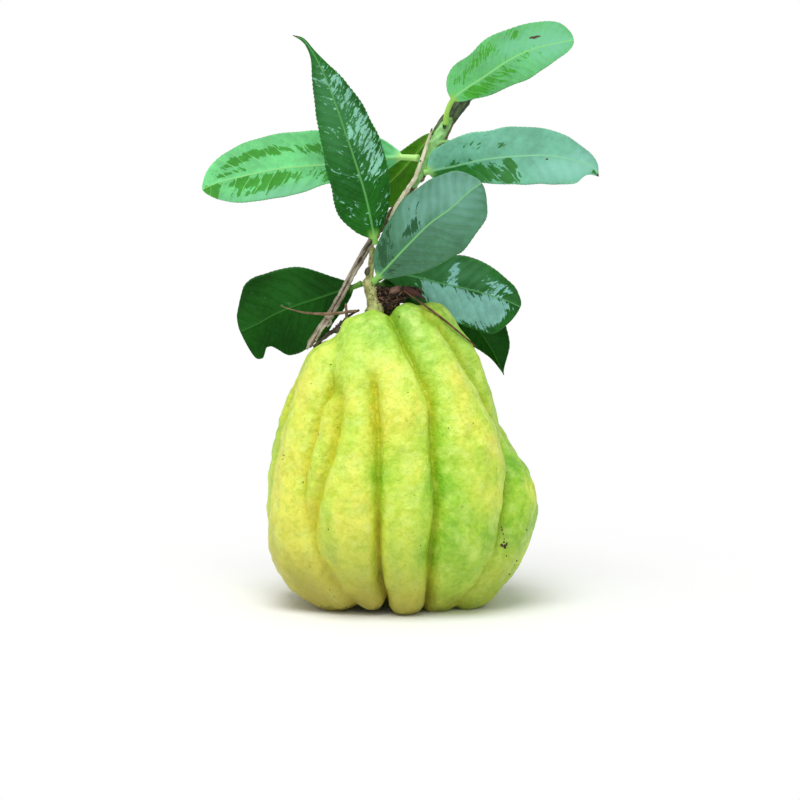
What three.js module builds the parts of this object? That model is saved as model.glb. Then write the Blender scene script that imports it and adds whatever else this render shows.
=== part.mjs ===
// Buddha's hand citron (closed-hand form) on its leafy twig, as picked.
// Millimetres, +Z up, front toward -Y. The fruit stands on the tips of its own fingers.
import * as THREE from 'three';

// ---------- driving dimensions ----------
const HEART = [-2, 0, 52];          // middle of the fruit
const STALK_FOOT = [-11, 0, 120];   // where the stalk meets the fruit
const FRUIT_REACH = 92;             // a little farther from the heart than any of the skin
const FRUIT_SECTORS = 84;           // columns around the fruit
const FRUIT_ROWS = 42;              // rows from stalk to the bottom
const NECK_MELT = 2.2;              // extra rounding of the creases at the neck
const NECK_FROM = 102;              // height where the fingers start to melt together
const NECK_SPAN = 14;
const GROOVE_WIDTH = 3;             // how wide the groove along a crease is
const GROOVE_FADE = 12;             // height over which a groove runs out at its top
const SOFT_MELT = 5;                // extra rounding where two fingers merge into a soft valley
const SOFT_FADE = 16;
const SKIN_TOLERANCE = 0.002;
const SKIN_STEPS = 60;              // steps of the search for the skin
const SKIN_PACE = 0.7;              // share of the distance to the skin taken in each step
const FRONT_START = -70;            // y in front of everything, where the needle's search starts
const LEAST_FRONT = -4;             // y of the needle where it has left the fruit
const BLADE_THICKNESS = 0.8;        // leaf blade, at the midrib
const PETIOLE_RADIUS = 0.95;
const LEAF_STATIONS = 16;
const LEAF_RING = 10;
const WIDTH_SPANS = 8;              // half widths are given at every eighth of the blade
const LAST_STATION = 0.992;         // share of the leaf at its last ring
const WAVES = 14;                   // how fast the edge of a leaf waves along it
const LEAST_ROD = 0.2;              // thinnest radius of a woody piece

// One finger is a row of balls: x, y, z of the ball and its radius, stalk end first.
// blend rounds the crease between a finger and those before it, groove cuts that crease deeper
// below grooveTop, and soft (0 to 1) turns it into a soft valley below softTop.
const FINGERS = [
  { name: 'core', blend: 0, groove: 0, grooveTop: 0, soft: 0, softTop: 0, knots: [
    [-6, 0, 104, 9], [-4, 0, 92, 20], [-3, 0, 75, 30], [-1, 0, 50, 40], [-1, 0, 34, 33], [0, 0, 24, 22]] },
  { name: 'middle tip', blend: 2, groove: 0, grooveTop: 100, soft: 0, softTop: 0, knots: [
    [4, 0, 30, 16], [2, -6, 18, 12], [3, -7, 8.6, 9.2]] },
  { name: 'right back', blend: 2, groove: 1.4, grooveTop: 100, soft: 0, softTop: 0, knots: [
    [14, 12, 106, 9], [19, 12, 92, 13.2], [23, 13, 74, 14], [34.5, 10, 46, 18], [31.5, 12, 28, 17.5],
    [20, 8, 11, 11.8]] },
  { name: 'back right', blend: 1.5, groove: 2, grooveTop: 100, soft: 0, softTop: 0, knots: [
    [4, 9, 109, 9], [10, 20, 92, 14], [15, 28, 70, 17], [18, 31, 48, 18.5], [16, 28, 27, 17],
    [11, 18, 10.5, 11.3]] },
  { name: 'back', blend: 1.5, groove: 2, grooveTop: 100, soft: 0, softTop: 0, knots: [
    [-8, 8, 109, 9], [-6, 21, 92, 13], [-5, 31, 70, 15], [-5, 35, 48, 16.5], [-5, 31, 27, 15.5],
    [-3, 20, 9.8, 10.5]] },
  { name: 'back left', blend: 1.5, groove: 2, grooveTop: 100, soft: 0, softTop: 0, knots: [
    [-18, 10, 101, 10], [-21, 18, 86, 14], [-25, 25, 66, 17], [-26, 27, 46, 18.5], [-24, 24, 27, 17],
    [-16, 14, 11, 11.5]] },
  { name: 'left back', blend: 1.5, groove: 1.8, grooveTop: 100, soft: 0, softTop: 0, knots: [
    [-29, 3, 94, 12.4], [-33.6, 3, 76, 15.2], [-37, 3, 56, 17.4], [-37.4, 3, 39, 18.4],
    [-35, 3, 22, 18.2], [-26, 0, 11, 11.6]] },
  { name: 'left', blend: 3.5, groove: 1, grooveTop: 100, soft: 0, softTop: 0, knots: [
    [-26, -5, 95, 13.8], [-29.8, -9, 80, 15.8], [-31.8, -13, 60, 19], [-33.4, -14, 38, 20.8],
    [-33, -14.5, 24, 20.5], [-27.2, -18.6, 12.6, 13.5]] },
  { name: 'short', blend: 2.5, groove: 1.5, grooveTop: 98, soft: 0, softTop: 0, knots: [
    [-19, -18, 92, 9], [-25, -26, 77, 8.5], [-29, -30, 65, 8.2], [-31, -32.5, 50, 8.2],
    [-28.6, -32, 38, 8.2]] },
  { name: 'front left', blend: 2.5, groove: 2, grooveTop: 100, soft: 0.6, softTop: 44, knots: [
    [-14.5, -5, 107.4, 12.5], [-14.8, -15, 97, 13], [-15.4, -24.5, 82, 12.8], [-16.6, -31, 65, 13.2],
    [-19.6, -34.5, 45, 15.8], [-18.6, -32, 29, 15.4], [-15, -30, 16, 11], [-11, -28, 8.6, 9.4]] },
  { name: 'front', blend: 1.4, groove: 2.6, grooveTop: 102, soft: 0, softTop: 0, knots: [
    [-9.4, -6, 108.4, 12], [-5.8, -16, 97, 13.1], [-0.8, -26.5, 82, 14.1], [0.9, -32.5, 62, 14.8],
    [1.4, -36.3, 44, 15.2], [0.9, -34.6, 27, 13.9], [1.7, -29.8, 9.2, 9.9]] },
  { name: 'front right', blend: 1, groove: 2.6, grooveTop: 126, soft: 0, softTop: 0, knots: [
    [4.7, -5, 113.6, 11.3], [9.6, -12, 100, 13.1], [15.8, -17.5, 84, 15.2], [20.8, -22.2, 64, 20],
    [21.6, -27.6, 45, 19], [19.4, -27.3, 28, 17.8], [14, -22, 10.3, 11.2]] },
  { name: 'right', blend: 1.4, groove: 2, grooveTop: 132, soft: 0.6, softTop: 42, knots: [
    [10.6, -1.5, 111.6, 10.8], [19, -2.5, 98.8, 12.4], [22.8, -3, 88, 12.8], [25, -3, 77, 13.4],
    [28.6, -5, 62, 14.9], [36.4, -9, 43.8, 18.4], [32, -13.5, 29, 19.4], [27.2, -14.5, 12.8, 14.2]] },
];

// Leaves. midrib: x, y, z from the twig to the tip. stalk: length before the blade starts.
// Half widths are from the base to the tip; slopes tip each half toward (-) or away (+) in y.
// tipEnd and baseEnd are the shares of the blade over which it closes; 0.5 round, 1 pointed.
const LEAVES = {
  leaf_top: { color: 0x8fd08a, stalk: 8, midrib: [[19.2, -1.6, 198], [20.9, -4, 205.6],
    [34, -8, 215.4], [44, -10.5, 222], [52, -12, 225.6], [62, -13, 228.2], [68.6, -13.5, 229.4]],
    widthA: [4.6, 9.8, 10.7, 11.7, 12, 11, 10.2, 9, 6],
    widthB: [3, 5.4, 7.8, 9, 10.1, 10.2, 8.7, 6, 4],
    slopeA: -0.55, slopeB: 0.35, tipEnd: 0.1, baseEnd: 0.08, sharp: 0.5, wave: 0.4 },
  leaf_right: { color: 0x7ec4a0, stalk: 1.5, midrib: [[11.6, -0.6, 177.2], [21.2, -4, 178.8],
    [33.2, -6, 181.4], [46.8, -6.5, 182.8], [57.2, -5, 183], [67.2, -2, 181.6], [77.2, 2, 178],
    [80.5, 3.1, 173.8]],
    widthA: [6.4, 9.8, 11.6, 11.8, 12, 11, 9, 5.4, 1.2],
    widthB: [3.6, 6.2, 8.8, 10.9, 11.6, 11.7, 11.2, 9, 2.4],
    slopeA: -0.3, slopeB: 0.25, tipEnd: 0.12, baseEnd: 0.06, sharp: 0.7, wave: 0.5 },
  leaf_left: { color: 0x76c48c, stalk: 7, midrib: [[6.6, 1.6, 181.6], [0.4, 4.6, 181.8],
    [-6, 5.6, 181.4], [-31.2, 7.5, 178.8], [-50.4, 9, 177], [-65, 10.3, 173.9], [-75, 11, 171.4],
    [-82.5, 11.4, 168.2]],
    widthA: [2, 6, 6.9, 8, 10.8, 12.2, 12.2, 10.8, 6.4],
    widthB: [4, 9.6, 11.8, 13.8, 14.3, 14.2, 13.2, 10.9, 3.8],
    slopeA: 0.35, slopeB: -0.3, tipEnd: 0.06, baseEnd: 0.1, sharp: 0.5, wave: 0.5 },
  leaf_upright: { color: 0x2b7a34, stalk: 2, midrib: [[-10.6, -2.2, 147], [-11.6, -3, 152],
    [-13.6, -4, 162], [-15.2, -4.6, 168.6], [-19.6, -6, 182.9], [-22.8, -8, 192.5], [-26, -10.5, 202],
    [-30, -13, 213], [-35.6, -16.6, 224.6], [-39.4, -18.6, 229.6], [-43.2, -20, 231.2]],
    widthA: [3, 11.8, 12.8, 11.9, 10.3, 8.8, 5.9, 1.6, 0.6],
    widthB: [1.5, 8.4, 11.5, 12.4, 11.4, 9.4, 5.2, 1.2, 0.5],
    slopeA: -0.3, slopeB: 0.12, tipEnd: 0.05, baseEnd: 0.05, sharp: 1, wave: 0.6 },
  leaf_centre: { color: 0x5f8f7c, stalk: 3, midrib: [[-11.3, -3.4, 132], [-5.6, -9.5, 138.6],
    [2.8, -14, 147.9], [11.2, -17.5, 156.4], [19.6, -20, 162.7], [26.8, -21.5, 169.3], [31.8, -22, 172.9]],
    widthA: [2, 7.3, 10.1, 12.4, 13.7, 14.1, 13.9, 11.3, 6],
    widthB: [2, 6.6, 11.4, 14.4, 16.1, 16.5, 14.2, 12, 7],
    slopeA: 0.38, slopeB: -0.15, tipEnd: 0.1, baseEnd: 0.05, sharp: 0.5, wave: 0.3 },
  leaf_low_left: { color: 0x1f5a24, stalk: 4, midrib: [[-16.6, 1.2, 130.6], [-20, 3, 129],
    [-25.2, 5, 127.4], [-33.6, 7, 124.4], [-43.6, 9, 121], [-53.2, 10, 116.8], [-59.2, 10, 113.4],
    [-66.8, 10, 110]],
    widthA: [1.5, 7, 11, 16.5, 17.5, 18.4, 17.7, 15.3, 12],
    widthB: [1.5, 6, 10.8, 14.2, 15.8, 16.6, 16.6, 13.2, 4.6],
    slopeA: -0.15, slopeB: 0.35, tipEnd: 0.06, baseEnd: 0.05, sharp: 0.5, wave: 0.5,
    bite: { at: 0.845, width: 0.055, depth: 5 } },
  leaf_low_right: { color: 0x47805f, stalk: 4, midrib: [[-10, 3, 132.4], [-4, 8.5, 134],
    [3.2, 11.5, 133], [14.8, 13.8, 130], [28, 14.5, 127], [42, 13.5, 123], [48.8, 12.5, 120]],
    widthA: [1.5, 6, 8.5, 10, 12.3, 12.7, 10.8, 7.6, 4.2],
    widthB: [1.5, 6, 9.5, 12.4, 13.6, 14.5, 15.5, 15, 11],
    slopeA: 0.3, slopeB: -0.1, tipEnd: 0.1, baseEnd: 0.05, sharp: 0.5, wave: 0.5 },
  leaf_low_back: { color: 0x1c4f12, stalk: 4, midrib: [[-11.5, 4.6, 130], [-6, 12, 129],
    [8, 20, 126], [19, 24, 120], [29, 26.5, 112.3], [37, 28, 101.5], [42.6, 28.5, 90]],
    widthA: [1, 5, 8, 10.5, 12, 12, 11, 7.4, 1],
    widthB: [1, 5, 8, 10, 10.5, 9.5, 6.5, 2.5, 0.6],
    slopeA: 0.2, slopeB: 0.1, tipEnd: 0.16, baseEnd: 0.05, sharp: 0.8, wave: 0.4 },
  leaf_back: { color: 0x4b7a16, stalk: 2, midrib: [[14.6, 5, 193.6], [9, 8, 186.8], [3, 10.5, 179.6],
    [-4, 12.5, 172.2], [-12, 14, 165.4], [-19, 15, 160.2]],
    widthA: [1, 3.4, 5.4, 7, 8.8, 9.2, 8, 5.6, 3],
    widthB: [1, 3.2, 5, 6.2, 7.6, 8.4, 7.6, 5.4, 3],
    slopeA: 0.1, slopeB: -0.1, tipEnd: 0.12, baseEnd: 0.1, sharp: 0.7, wave: 0.3 },
};

// Woody pieces: x, y, z along the middle, and the radius at each point.
const STALK = { sides: 12, steps: 16, rough: 0.12, flat: 1, path: [
  [-11.2, -1.4, 122.1, 3.3], [-11.6, -1.3, 123.6, 2.6], [-12.4, -1, 127, 2.2], [-13.4, -0.7, 129.6, 2.3],
  [-13.5, -0.5, 131.2, 2.7], [-13.1, -0.4, 133.2, 1.8], [-12.8, 0, 136.4, 1.3], [-12.1, 0.6, 142, 1.2],
  [-11.9, 1.1, 145.7, 1.3]] };
const BRANCH = { sides: 12, steps: 44, rough: 0.1, flat: 0.85, path: [
  [-37.6, -2, 106, 1.7], [-34.2, -1, 110.6, 1.5], [-28.8, 0.4, 118, 1.3], [-20.8, 2, 133, 1.1],
  [-14, 2.8, 145.6, 1.1], [-8.8, 3, 153.6, 1.2], [-2, 2.8, 162.8, 1.3], [4, 2.4, 170.4, 1.6],
  [9.2, 2, 179, 2], [15.2, 1.8, 189, 2.3], [20, 1.8, 197.8, 2.2], [25.2, 1.8, 205, 1.8],
  [32, 2.4, 213.6, 1.3]] };
const SLIVER = { sides: 8, steps: 18, rough: 0.1, flat: 0.6, path: [
  [-5.4, -0.3, 156.4, 0.4], [-2, -0.5, 162.6, 0.7], [1.2, -0.9, 167.4, 0.8], [5.4, -1.6, 174, 0.75],
  [9, -2, 184, 0.65], [12.2, -2.2, 194, 0.35]] };
const STALK_BUD = { sides: 8, steps: 6, rough: 0.1, flat: 1, path: [
  [-14.4, -3, 134.2, 0.5], [-14.1, -2.9, 135.4, 1.1], [-13.8, -2.7, 136.6, 1], [-13.6, -2.5, 137.8, 0.3]] };
const AXIL_BUD = { sides: 8, steps: 6, rough: 0.1, flat: 1, path: [
  [18.6, -1.6, 191.2, 0.6], [18, -2, 192.8, 1.1], [17.6, -2.2, 194.4, 0.9], [17.4, -2.2, 195.8, 0.3]] };
const SCRAP = { sides: 12, steps: 14, rough: 0.32, flat: 0.9, path: [
  [-8.2, -3, 126.2, 1.2], [-6, -3, 126.2, 2.6], [-3, -3, 126.6, 3], [1, -3.2, 127.6, 2.6],
  [5, -3.8, 127.8, 2], [8.4, -4, 127.6, 1]] };
const SHOULDER_SCRAP = { sides: 8, steps: 12, rough: 0.3, flat: 0.6, path: [
  [-33.6, 0.6, 107.8, 0.5], [-30.6, 0.4, 109.9, 1.1], [-27.4, 0.2, 112.3, 1], [-24.6, 0, 115.6, 0.4]] };
const TENDRIL = { sides: 6, steps: 16, rough: 0.12, flat: 1, path: [
  [-49.6, -5.6, 122.2, 0.2], [-44.8, -5.2, 120.6, 0.25], [-38.8, -4.8, 119.2, 0.4],
  [-30, -4.6, 118.8, 0.55], [-24, -4.6, 119.3, 0.55], [-18.8, -4.8, 120.4, 0.4]] };
// The needle lies on the skin: x, z and how far it stands off, with its radius.
const NEEDLE = { sides: 6, steps: 14, rough: 0.1, flat: 1, lay: [
  [0.4, 129.4, 5, 0.25], [4.4, 125.4, 5.6, 0.35], [11, 120.4, 3.8, 0.4], [17.6, 116, 2.5, 0.4],
  [24.4, 110.6, 2.2, 0.38], [30.2, 105.4, 2, 0.25]] };

// ---------- fruit ----------
const clamp01 = (t) => Math.min(Math.max(t, 0), 1);
const ease = (t) => clamp01(t) ** 2 * (3 - 2 * clamp01(t));

// Smooth spline through rows of numbers: value and slope at parameter t.
function splineAt(rows, t) {
  const last = rows.length - 1;
  const i = Math.min(Math.floor(t), last - 1);
  const u = t - i;
  const pick = (k, c) => {
    if (k < 0) return 2 * rows[0][c] - rows[1][c];
    if (k > last) return 2 * rows[last][c] - rows[last - 1][c];
    return rows[k][c];
  };
  const value = [];
  const slope = [];
  for (let c = 0; c < rows[0].length; c++) {
    const [a, b, d, e] = [pick(i - 1, c), pick(i, c), pick(i + 1, c), pick(i + 2, c)];
    const k2 = a - 2.5 * b + 2 * d - 0.5 * e;
    const k3 = 1.5 * (b - d) + 0.5 * (e - a);
    value.push(b + u * (0.5 * (d - a) + u * (k2 + u * k3)));
    slope.push(0.5 * (d - a) + u * (2 * k2 + 3 * u * k3));
  }
  return { value, slope };
}

// Signed distance from a point to one finger, walking along it to the closest ball.
function fingerDistance(finger, p) {
  const { knots } = finger;
  const last = knots.length - 1;
  let t = 0;
  while (t < last && knots[t + 1][2] > p[2]) t++;
  let distance = 0;
  for (let step = 0; step < 8; step++) {
    const { value, slope } = splineAt(knots, t);
    const v = [p[0] - value[0], p[1] - value[1], p[2] - value[2]];
    const far = Math.hypot(...v);
    const run = slope[0] ** 2 + slope[1] ** 2 + slope[2] ** 2;
    const along = v[0] * slope[0] + v[1] * slope[1] + v[2] * slope[2];
    distance = far - value[3];
    t = Math.min(Math.max(t + (0.9 * (along + slope[3] * far)) / run, 0), last);
  }
  return distance;
}

// 1 well below a height and 0 above it.
const below = (height, top, fade) => 1 - ease((height - top + fade) / fade);

// Signed distance from a point to the skin: all fingers melted together, with their grooves.
function skinDistance(p) {
  const melt = NECK_MELT * ease((p[2] - NECK_FROM) / NECK_SPAN);
  let f = fingerDistance(FINGERS[0], p);
  for (const finger of FINGERS.slice(1)) {
    const d = fingerDistance(finger, p);
    const softened = finger.soft * below(p[2], finger.softTop, SOFT_FADE);
    const cut = finger.groove * below(p[2], finger.grooveTop, GROOVE_FADE) * (1 - softened);
    const groove = cut * Math.exp(-(((f - d) / GROOVE_WIDTH) ** 2));
    const k = finger.blend + melt + SOFT_MELT * softened;
    const h = clamp01(0.5 + (0.5 * (f - d)) / k);
    f = f * (1 - h) + d * h - k * h * (1 - h) + groove;
  }
  return f;
}

// Distance along a straight line from start until it meets the skin.
function reachSkin(start, heading, far) {
  let run = 0;
  for (let step = 0; step < SKIN_STEPS && run < far; step++) {
    const p = start.map((s, i) => s + heading[i] * run);
    const d = skinDistance(p);
    if (Math.abs(d) < SKIN_TOLERANCE) break;
    run += d * SKIN_PACE;
  }
  return run;
}

function fruitGeometry() {
  const heart = new THREE.Vector3(...HEART);
  const up = new THREE.Vector3(...STALK_FOOT).sub(heart).normalize();
  const side = new THREE.Vector3(1, 0, 0).addScaledVector(up, -up.x).normalize();
  const front = new THREE.Vector3().crossVectors(up, side);
  const points = [];
  const skinPoint = (row, column) => {
    const polar = (Math.PI * row) / FRUIT_ROWS;
    const turn = (2 * Math.PI * column) / FRUIT_SECTORS;
    const out = up.clone().multiplyScalar(Math.cos(polar));
    out.addScaledVector(side, Math.sin(polar) * Math.cos(turn));
    out.addScaledVector(front, Math.sin(polar) * Math.sin(turn));
    const start = heart.clone().addScaledVector(out, FRUIT_REACH);
    const run = reachSkin(start.toArray(), out.clone().negate().toArray(), FRUIT_REACH);
    const p = start.addScaledVector(out, -run);
    points.push(p.x, p.y, Math.max(p.z, 0));
  };
  skinPoint(0, 0);
  for (let row = 1; row < FRUIT_ROWS; row++) {
    for (let column = 0; column < FRUIT_SECTORS; column++) skinPoint(row, column);
  }
  skinPoint(FRUIT_ROWS, 0);
  return solid(points, FRUIT_ROWS - 1, FRUIT_SECTORS, false);
}

// Closed solid from a start point, rings of points and an end point.
function solid(points, rings, count, flip) {
  const faces = [];
  const face = (a, b, c) => faces.push(...(flip ? [a, c, b] : [a, b, c]));
  const at = (ring, j) => 1 + ring * count + (j % count);
  const end = 1 + rings * count;
  for (let j = 0; j < count; j++) {
    face(0, at(0, j), at(0, j + 1));
    for (let ring = 0; ring < rings - 1; ring++) {
      face(at(ring, j), at(ring + 1, j), at(ring + 1, j + 1));
      face(at(ring, j), at(ring + 1, j + 1), at(ring, j + 1));
    }
    face(end, at(rings - 1, j + 1), at(rings - 1, j));
  }
  const geometry = new THREE.BufferGeometry();
  geometry.setAttribute('position', new THREE.Float32BufferAttribute(points, 3));
  geometry.setIndex(faces);
  geometry.computeVertexNormals();
  return geometry;
}

// ---------- leaves ----------
// How much of its width a blade has, t along it from 0 to 1.
function closing(leaf, t) {
  const fromBase = clamp01(t / leaf.baseEnd);
  const fromTip = clamp01((1 - t) / leaf.tipEnd);
  const base = (1 - (1 - fromBase) ** 2) ** 0.5;
  return base * (1 - (1 - fromTip) ** 2) ** leaf.sharp;
}

function halfWidth(leaf, widths, t, bitten) {
  const plain = splineAt(widths.map((w) => [w]), clamp01(t) * WIDTH_SPANS).value[0];
  let width = plain * closing(leaf, clamp01(t));
  if (bitten) width -= leaf.bite.depth * Math.exp(-(((t - leaf.bite.at) / leaf.bite.width) ** 2));
  return Math.max(width, PETIOLE_RADIUS * (t < 0.5 ? 1 : 0.45));
}

function leafGeometry(leaf) {
  const curve = new THREE.CatmullRomCurve3(leaf.midrib.map((p) => new THREE.Vector3(...p)));
  const length = curve.getLength();
  const bladeStart = leaf.stalk / length;
  const first = curve.getPointAt(0);
  const points = [first.x, first.y, first.z];
  for (let i = 0; i < LEAF_STATIONS; i++) {
    const blade = bladeStart * 0.9;
    const share = i === 0 ? 0 : blade + (1 - blade) * ((i - 1) / (LEAF_STATIONS - 1)) ** 0.95;
    const s = Math.min(share, LAST_STATION);
    points.push(...leafRing(leaf, curve, s, (s - bladeStart) / (1 - bladeStart)));
  }
  const last = curve.getPointAt(1);
  points.push(last.x, last.y, last.z);
  return solid(points, LEAF_STATIONS, LEAF_RING, true);
}

// One cross-section: round on the petiole, thin and wide with a raised midrib on the blade.
function leafRing(leaf, curve, s, t) {
  const middle = curve.getPointAt(s);
  const ahead = curve.getTangentAt(s);
  const across = new THREE.Vector3(-ahead.z, 0, ahead.x).normalize();
  const facing = new THREE.Vector3().crossVectors(ahead, across).normalize();
  const isBlade = t > 0;
  const ring = [];
  for (let j = 0; j < LEAF_RING; j++) {
    const angle = (2 * Math.PI * j) / LEAF_RING;
    const u = Math.cos(angle);
    const sideA = u > 0;
    const width = isBlade
      ? halfWidth(leaf, sideA ? leaf.widthA : leaf.widthB, t, sideA && leaf.bite)
      : PETIOLE_RADIUS;
    const off = u * width;
    const thick = isBlade ? (BLADE_THICKNESS / 2) * (1.25 - 0.55 * Math.abs(u)) : PETIOLE_RADIUS;
    const slope = isBlade ? (sideA ? leaf.slopeA : leaf.slopeB) : 0;
    const wave = isBlade ? leaf.wave * u * u * Math.sin(WAVES * t + (sideA ? 0 : 2)) : 0;
    const p = middle.clone().addScaledVector(across, off);
    p.addScaledVector(facing, thick * Math.sin(angle));
    p.y += slope * Math.abs(off) + wave;
    ring.push(p.x, p.y, p.z);
  }
  return ring;
}

// ---------- woody pieces ----------
// Repeatable unevenness between -1 and 1.
const uneven = (i, j) => Math.sin(i * 12.9 + j * 78.2 + Math.sin(i * 3.7 + j * 1.3) * 5);

function rodGeometry({ path, sides, steps, rough, flat }) {
  const curve = new THREE.CatmullRomCurve3(path.map((p) => new THREE.Vector3(p[0], p[1], p[2])));
  const frames = curve.computeFrenetFrames(steps, false);
  const start = curve.getPointAt(0);
  const points = [start.x, start.y, start.z];
  for (let i = 0; i <= steps; i++) {
    const at = curve.getUtoTmapping(i / steps) * (path.length - 1);
    const radius = splineAt(path, at).value[3];
    const middle = curve.getPointAt(i / steps);
    for (let j = 0; j < sides; j++) {
      const angle = (2 * Math.PI * j) / sides;
      const r = Math.max(radius, LEAST_ROD) * (1 + rough * uneven(i, j));
      const p = middle.clone().addScaledVector(frames.normals[i], r * Math.cos(angle));
      p.addScaledVector(frames.binormals[i], r * flat * Math.sin(angle));
      points.push(p.x, p.y, p.z);
    }
  }
  const end = curve.getPointAt(1);
  points.push(end.x, end.y, end.z);
  return solid(points, steps + 1, sides, true);
}

// The needle follows the skin at its own height above it.
function needleGeometry() {
  const path = NEEDLE.lay.map(([x, z, lift, radius]) => {
    const skin = FRONT_START + reachSkin([x, FRONT_START, z], [0, 1, 0], -FRONT_START);
    return [x, Math.min(skin, LEAST_FRONT) - lift, z, radius];
  });
  return rodGeometry({ ...NEEDLE, path });
}

// ---------- assembly ----------
function material(color, roughness) {
  return new THREE.MeshStandardMaterial({ color, roughness, metalness: 0 });
}

function buildCitron() {
  const group = new THREE.Group();
  const add = (name, geometry, color, roughness) => {
    const mesh = new THREE.Mesh(geometry, material(color, roughness));
    mesh.name = name;
    group.add(mesh);
  };
  add('fruit', fruitGeometry(), 0xc8d850, 0.5);
  for (const [name, leaf] of Object.entries(LEAVES)) add(name, leafGeometry(leaf), leaf.color, 0.45);
  add('fruit_stalk', rodGeometry(STALK), 0x87894f, 0.8);
  add('branch', rodGeometry(BRANCH), 0x8f8f72, 0.8);
  add('dry_sliver', rodGeometry(SLIVER), 0xc9bfa4, 0.85);
  add('stalk_bud', rodGeometry(STALK_BUD), 0x3a3326, 0.8);
  add('axil_bud', rodGeometry(AXIL_BUD), 0x4a4228, 0.8);
  add('dry_scrap', rodGeometry(SCRAP), 0x4a3a2c, 0.9);
  add('dry_needle', needleGeometry(), 0x5c3328, 0.8);
  add('dry_tendril', rodGeometry(TENDRIL), 0x4a3a2c, 0.85);
  add('shoulder_scrap', rodGeometry(SHOULDER_SCRAP), 0x3a2f24, 0.9);
  centre(group);
  return group;
}

// Puts the middle of the footprint of the whole object at x = 0, y = 0.
function centre(group) {
  const box = new THREE.Box3().setFromObject(group);
  const middle = box.getCenter(new THREE.Vector3());
  group.children.forEach((mesh) => mesh.position.set(-middle.x, -middle.y, 0));
}

export default buildCitron();
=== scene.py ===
"""A closed-hand citron on its leafy twig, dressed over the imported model.

Tables of places and sizes are in millimetres, measured from the fruit's own axis, and the
footprint shift moves them into the model's frame. Meshes are stored in metres.
"""
from __future__ import annotations

import logging
import math
from dataclasses import dataclass, field
from enum import Enum
from functools import cached_property
from typing import ClassVar

import bpy
import numpy as np
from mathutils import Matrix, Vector
from numpy.typing import NDArray

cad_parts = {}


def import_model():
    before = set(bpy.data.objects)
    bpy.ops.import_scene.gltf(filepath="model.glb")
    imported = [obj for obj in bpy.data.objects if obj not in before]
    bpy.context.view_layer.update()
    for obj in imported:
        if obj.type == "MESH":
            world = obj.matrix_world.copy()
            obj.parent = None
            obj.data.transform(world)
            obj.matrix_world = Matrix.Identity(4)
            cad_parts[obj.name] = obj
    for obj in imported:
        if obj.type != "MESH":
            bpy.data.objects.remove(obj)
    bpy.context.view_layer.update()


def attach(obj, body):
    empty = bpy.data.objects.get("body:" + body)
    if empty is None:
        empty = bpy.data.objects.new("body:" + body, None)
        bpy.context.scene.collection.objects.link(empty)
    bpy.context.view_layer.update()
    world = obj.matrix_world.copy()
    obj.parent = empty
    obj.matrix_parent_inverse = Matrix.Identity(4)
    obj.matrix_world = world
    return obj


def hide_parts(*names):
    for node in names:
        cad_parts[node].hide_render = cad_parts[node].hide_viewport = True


LOG = logging.getLogger("citron")
Array = NDArray[np.float64]
Colour = tuple[float, float, float]
Point = tuple[float, float, float]
Ball = tuple[float, float, float, float]
Faces = tuple[Array, Array]

MM = 0.001
BODY = "root"
FOOTPRINT_SHIFT = (1.0, -0.0438, 0.0)


# ---------------------------------------------------------------- shared mathematics

def smoothstep(value: Array, low: float = 0.0, high: float = 1.0) -> Array:
    """Rise smoothly from 0 at low to 1 at high: 3t^2 - 2t^3 of the clamped share t.

    Args:
        value: Numbers to map.
        low: Value at which the rise starts.
        high: Value at which it ends.

    Returns:
        Numbers from 0 to 1.
    """
    share = np.clip((value - low) / (high - low), 0.0, 1.0)
    return share * share * (3.0 - 2.0 * share)


def table_spline(rows: Array, at: Array) -> Array:
    """Read a table between its rows with a uniform Catmull-Rom spline.

    Args:
        rows: Table with one row per knot, shape (knots, columns).
        at: Knot numbers to read at, whole or between knots.

    Returns:
        Rows of the table at those places, shape (len(at), columns).
    """
    padded = np.vstack([2 * rows[0] - rows[1], rows, 2 * rows[-1] - rows[-2]])
    span = np.clip(at.astype(int), 0, len(rows) - 2)
    share = (at - span)[:, None]
    before, start, end, after = (padded[span + k] for k in range(4))
    square = before - 2.5 * start + 2 * end - 0.5 * after
    cube = 1.5 * (start - end) + 0.5 * (after - before)
    return start + share * (0.5 * (end - before) + share * (square + share * cube))


class Noise:
    """Seeded lattice noise: random corner values, blended across each cell by t^3(6t^2-15t+10)."""

    SIDE = 32

    def __init__(self, seed: int) -> None:
        """Draw the corner values between -1 and 1."""
        rng = np.random.default_rng(seed)
        self.corners = rng.uniform(-1.0, 1.0, (self.SIDE, self.SIDE, self.SIDE))

    def at(self, points: Array, cell: float | Point) -> Array:
        """Value of the noise at points.

        Args:
            points: Places, shape (n, 3).
            cell: Size of a cell, one number or one per axis.

        Returns:
            Values between -1 and 1, shape (n,).
        """
        scaled = points / np.asarray(cell, float)
        base = np.floor(scaled).astype(int)
        share = scaled - base
        share = share ** 3 * (share * (share * 6.0 - 15.0) + 10.0)
        total = np.zeros(len(points))
        for corner in np.ndindex(2, 2, 2):
            cells = (base + corner) % self.SIDE
            weight = np.prod(np.where(corner, share, 1.0 - share), axis=1)
            total += weight * self.corners[cells[:, 0], cells[:, 1], cells[:, 2]]
        return total


NOISE = Noise(seed=7)


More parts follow.
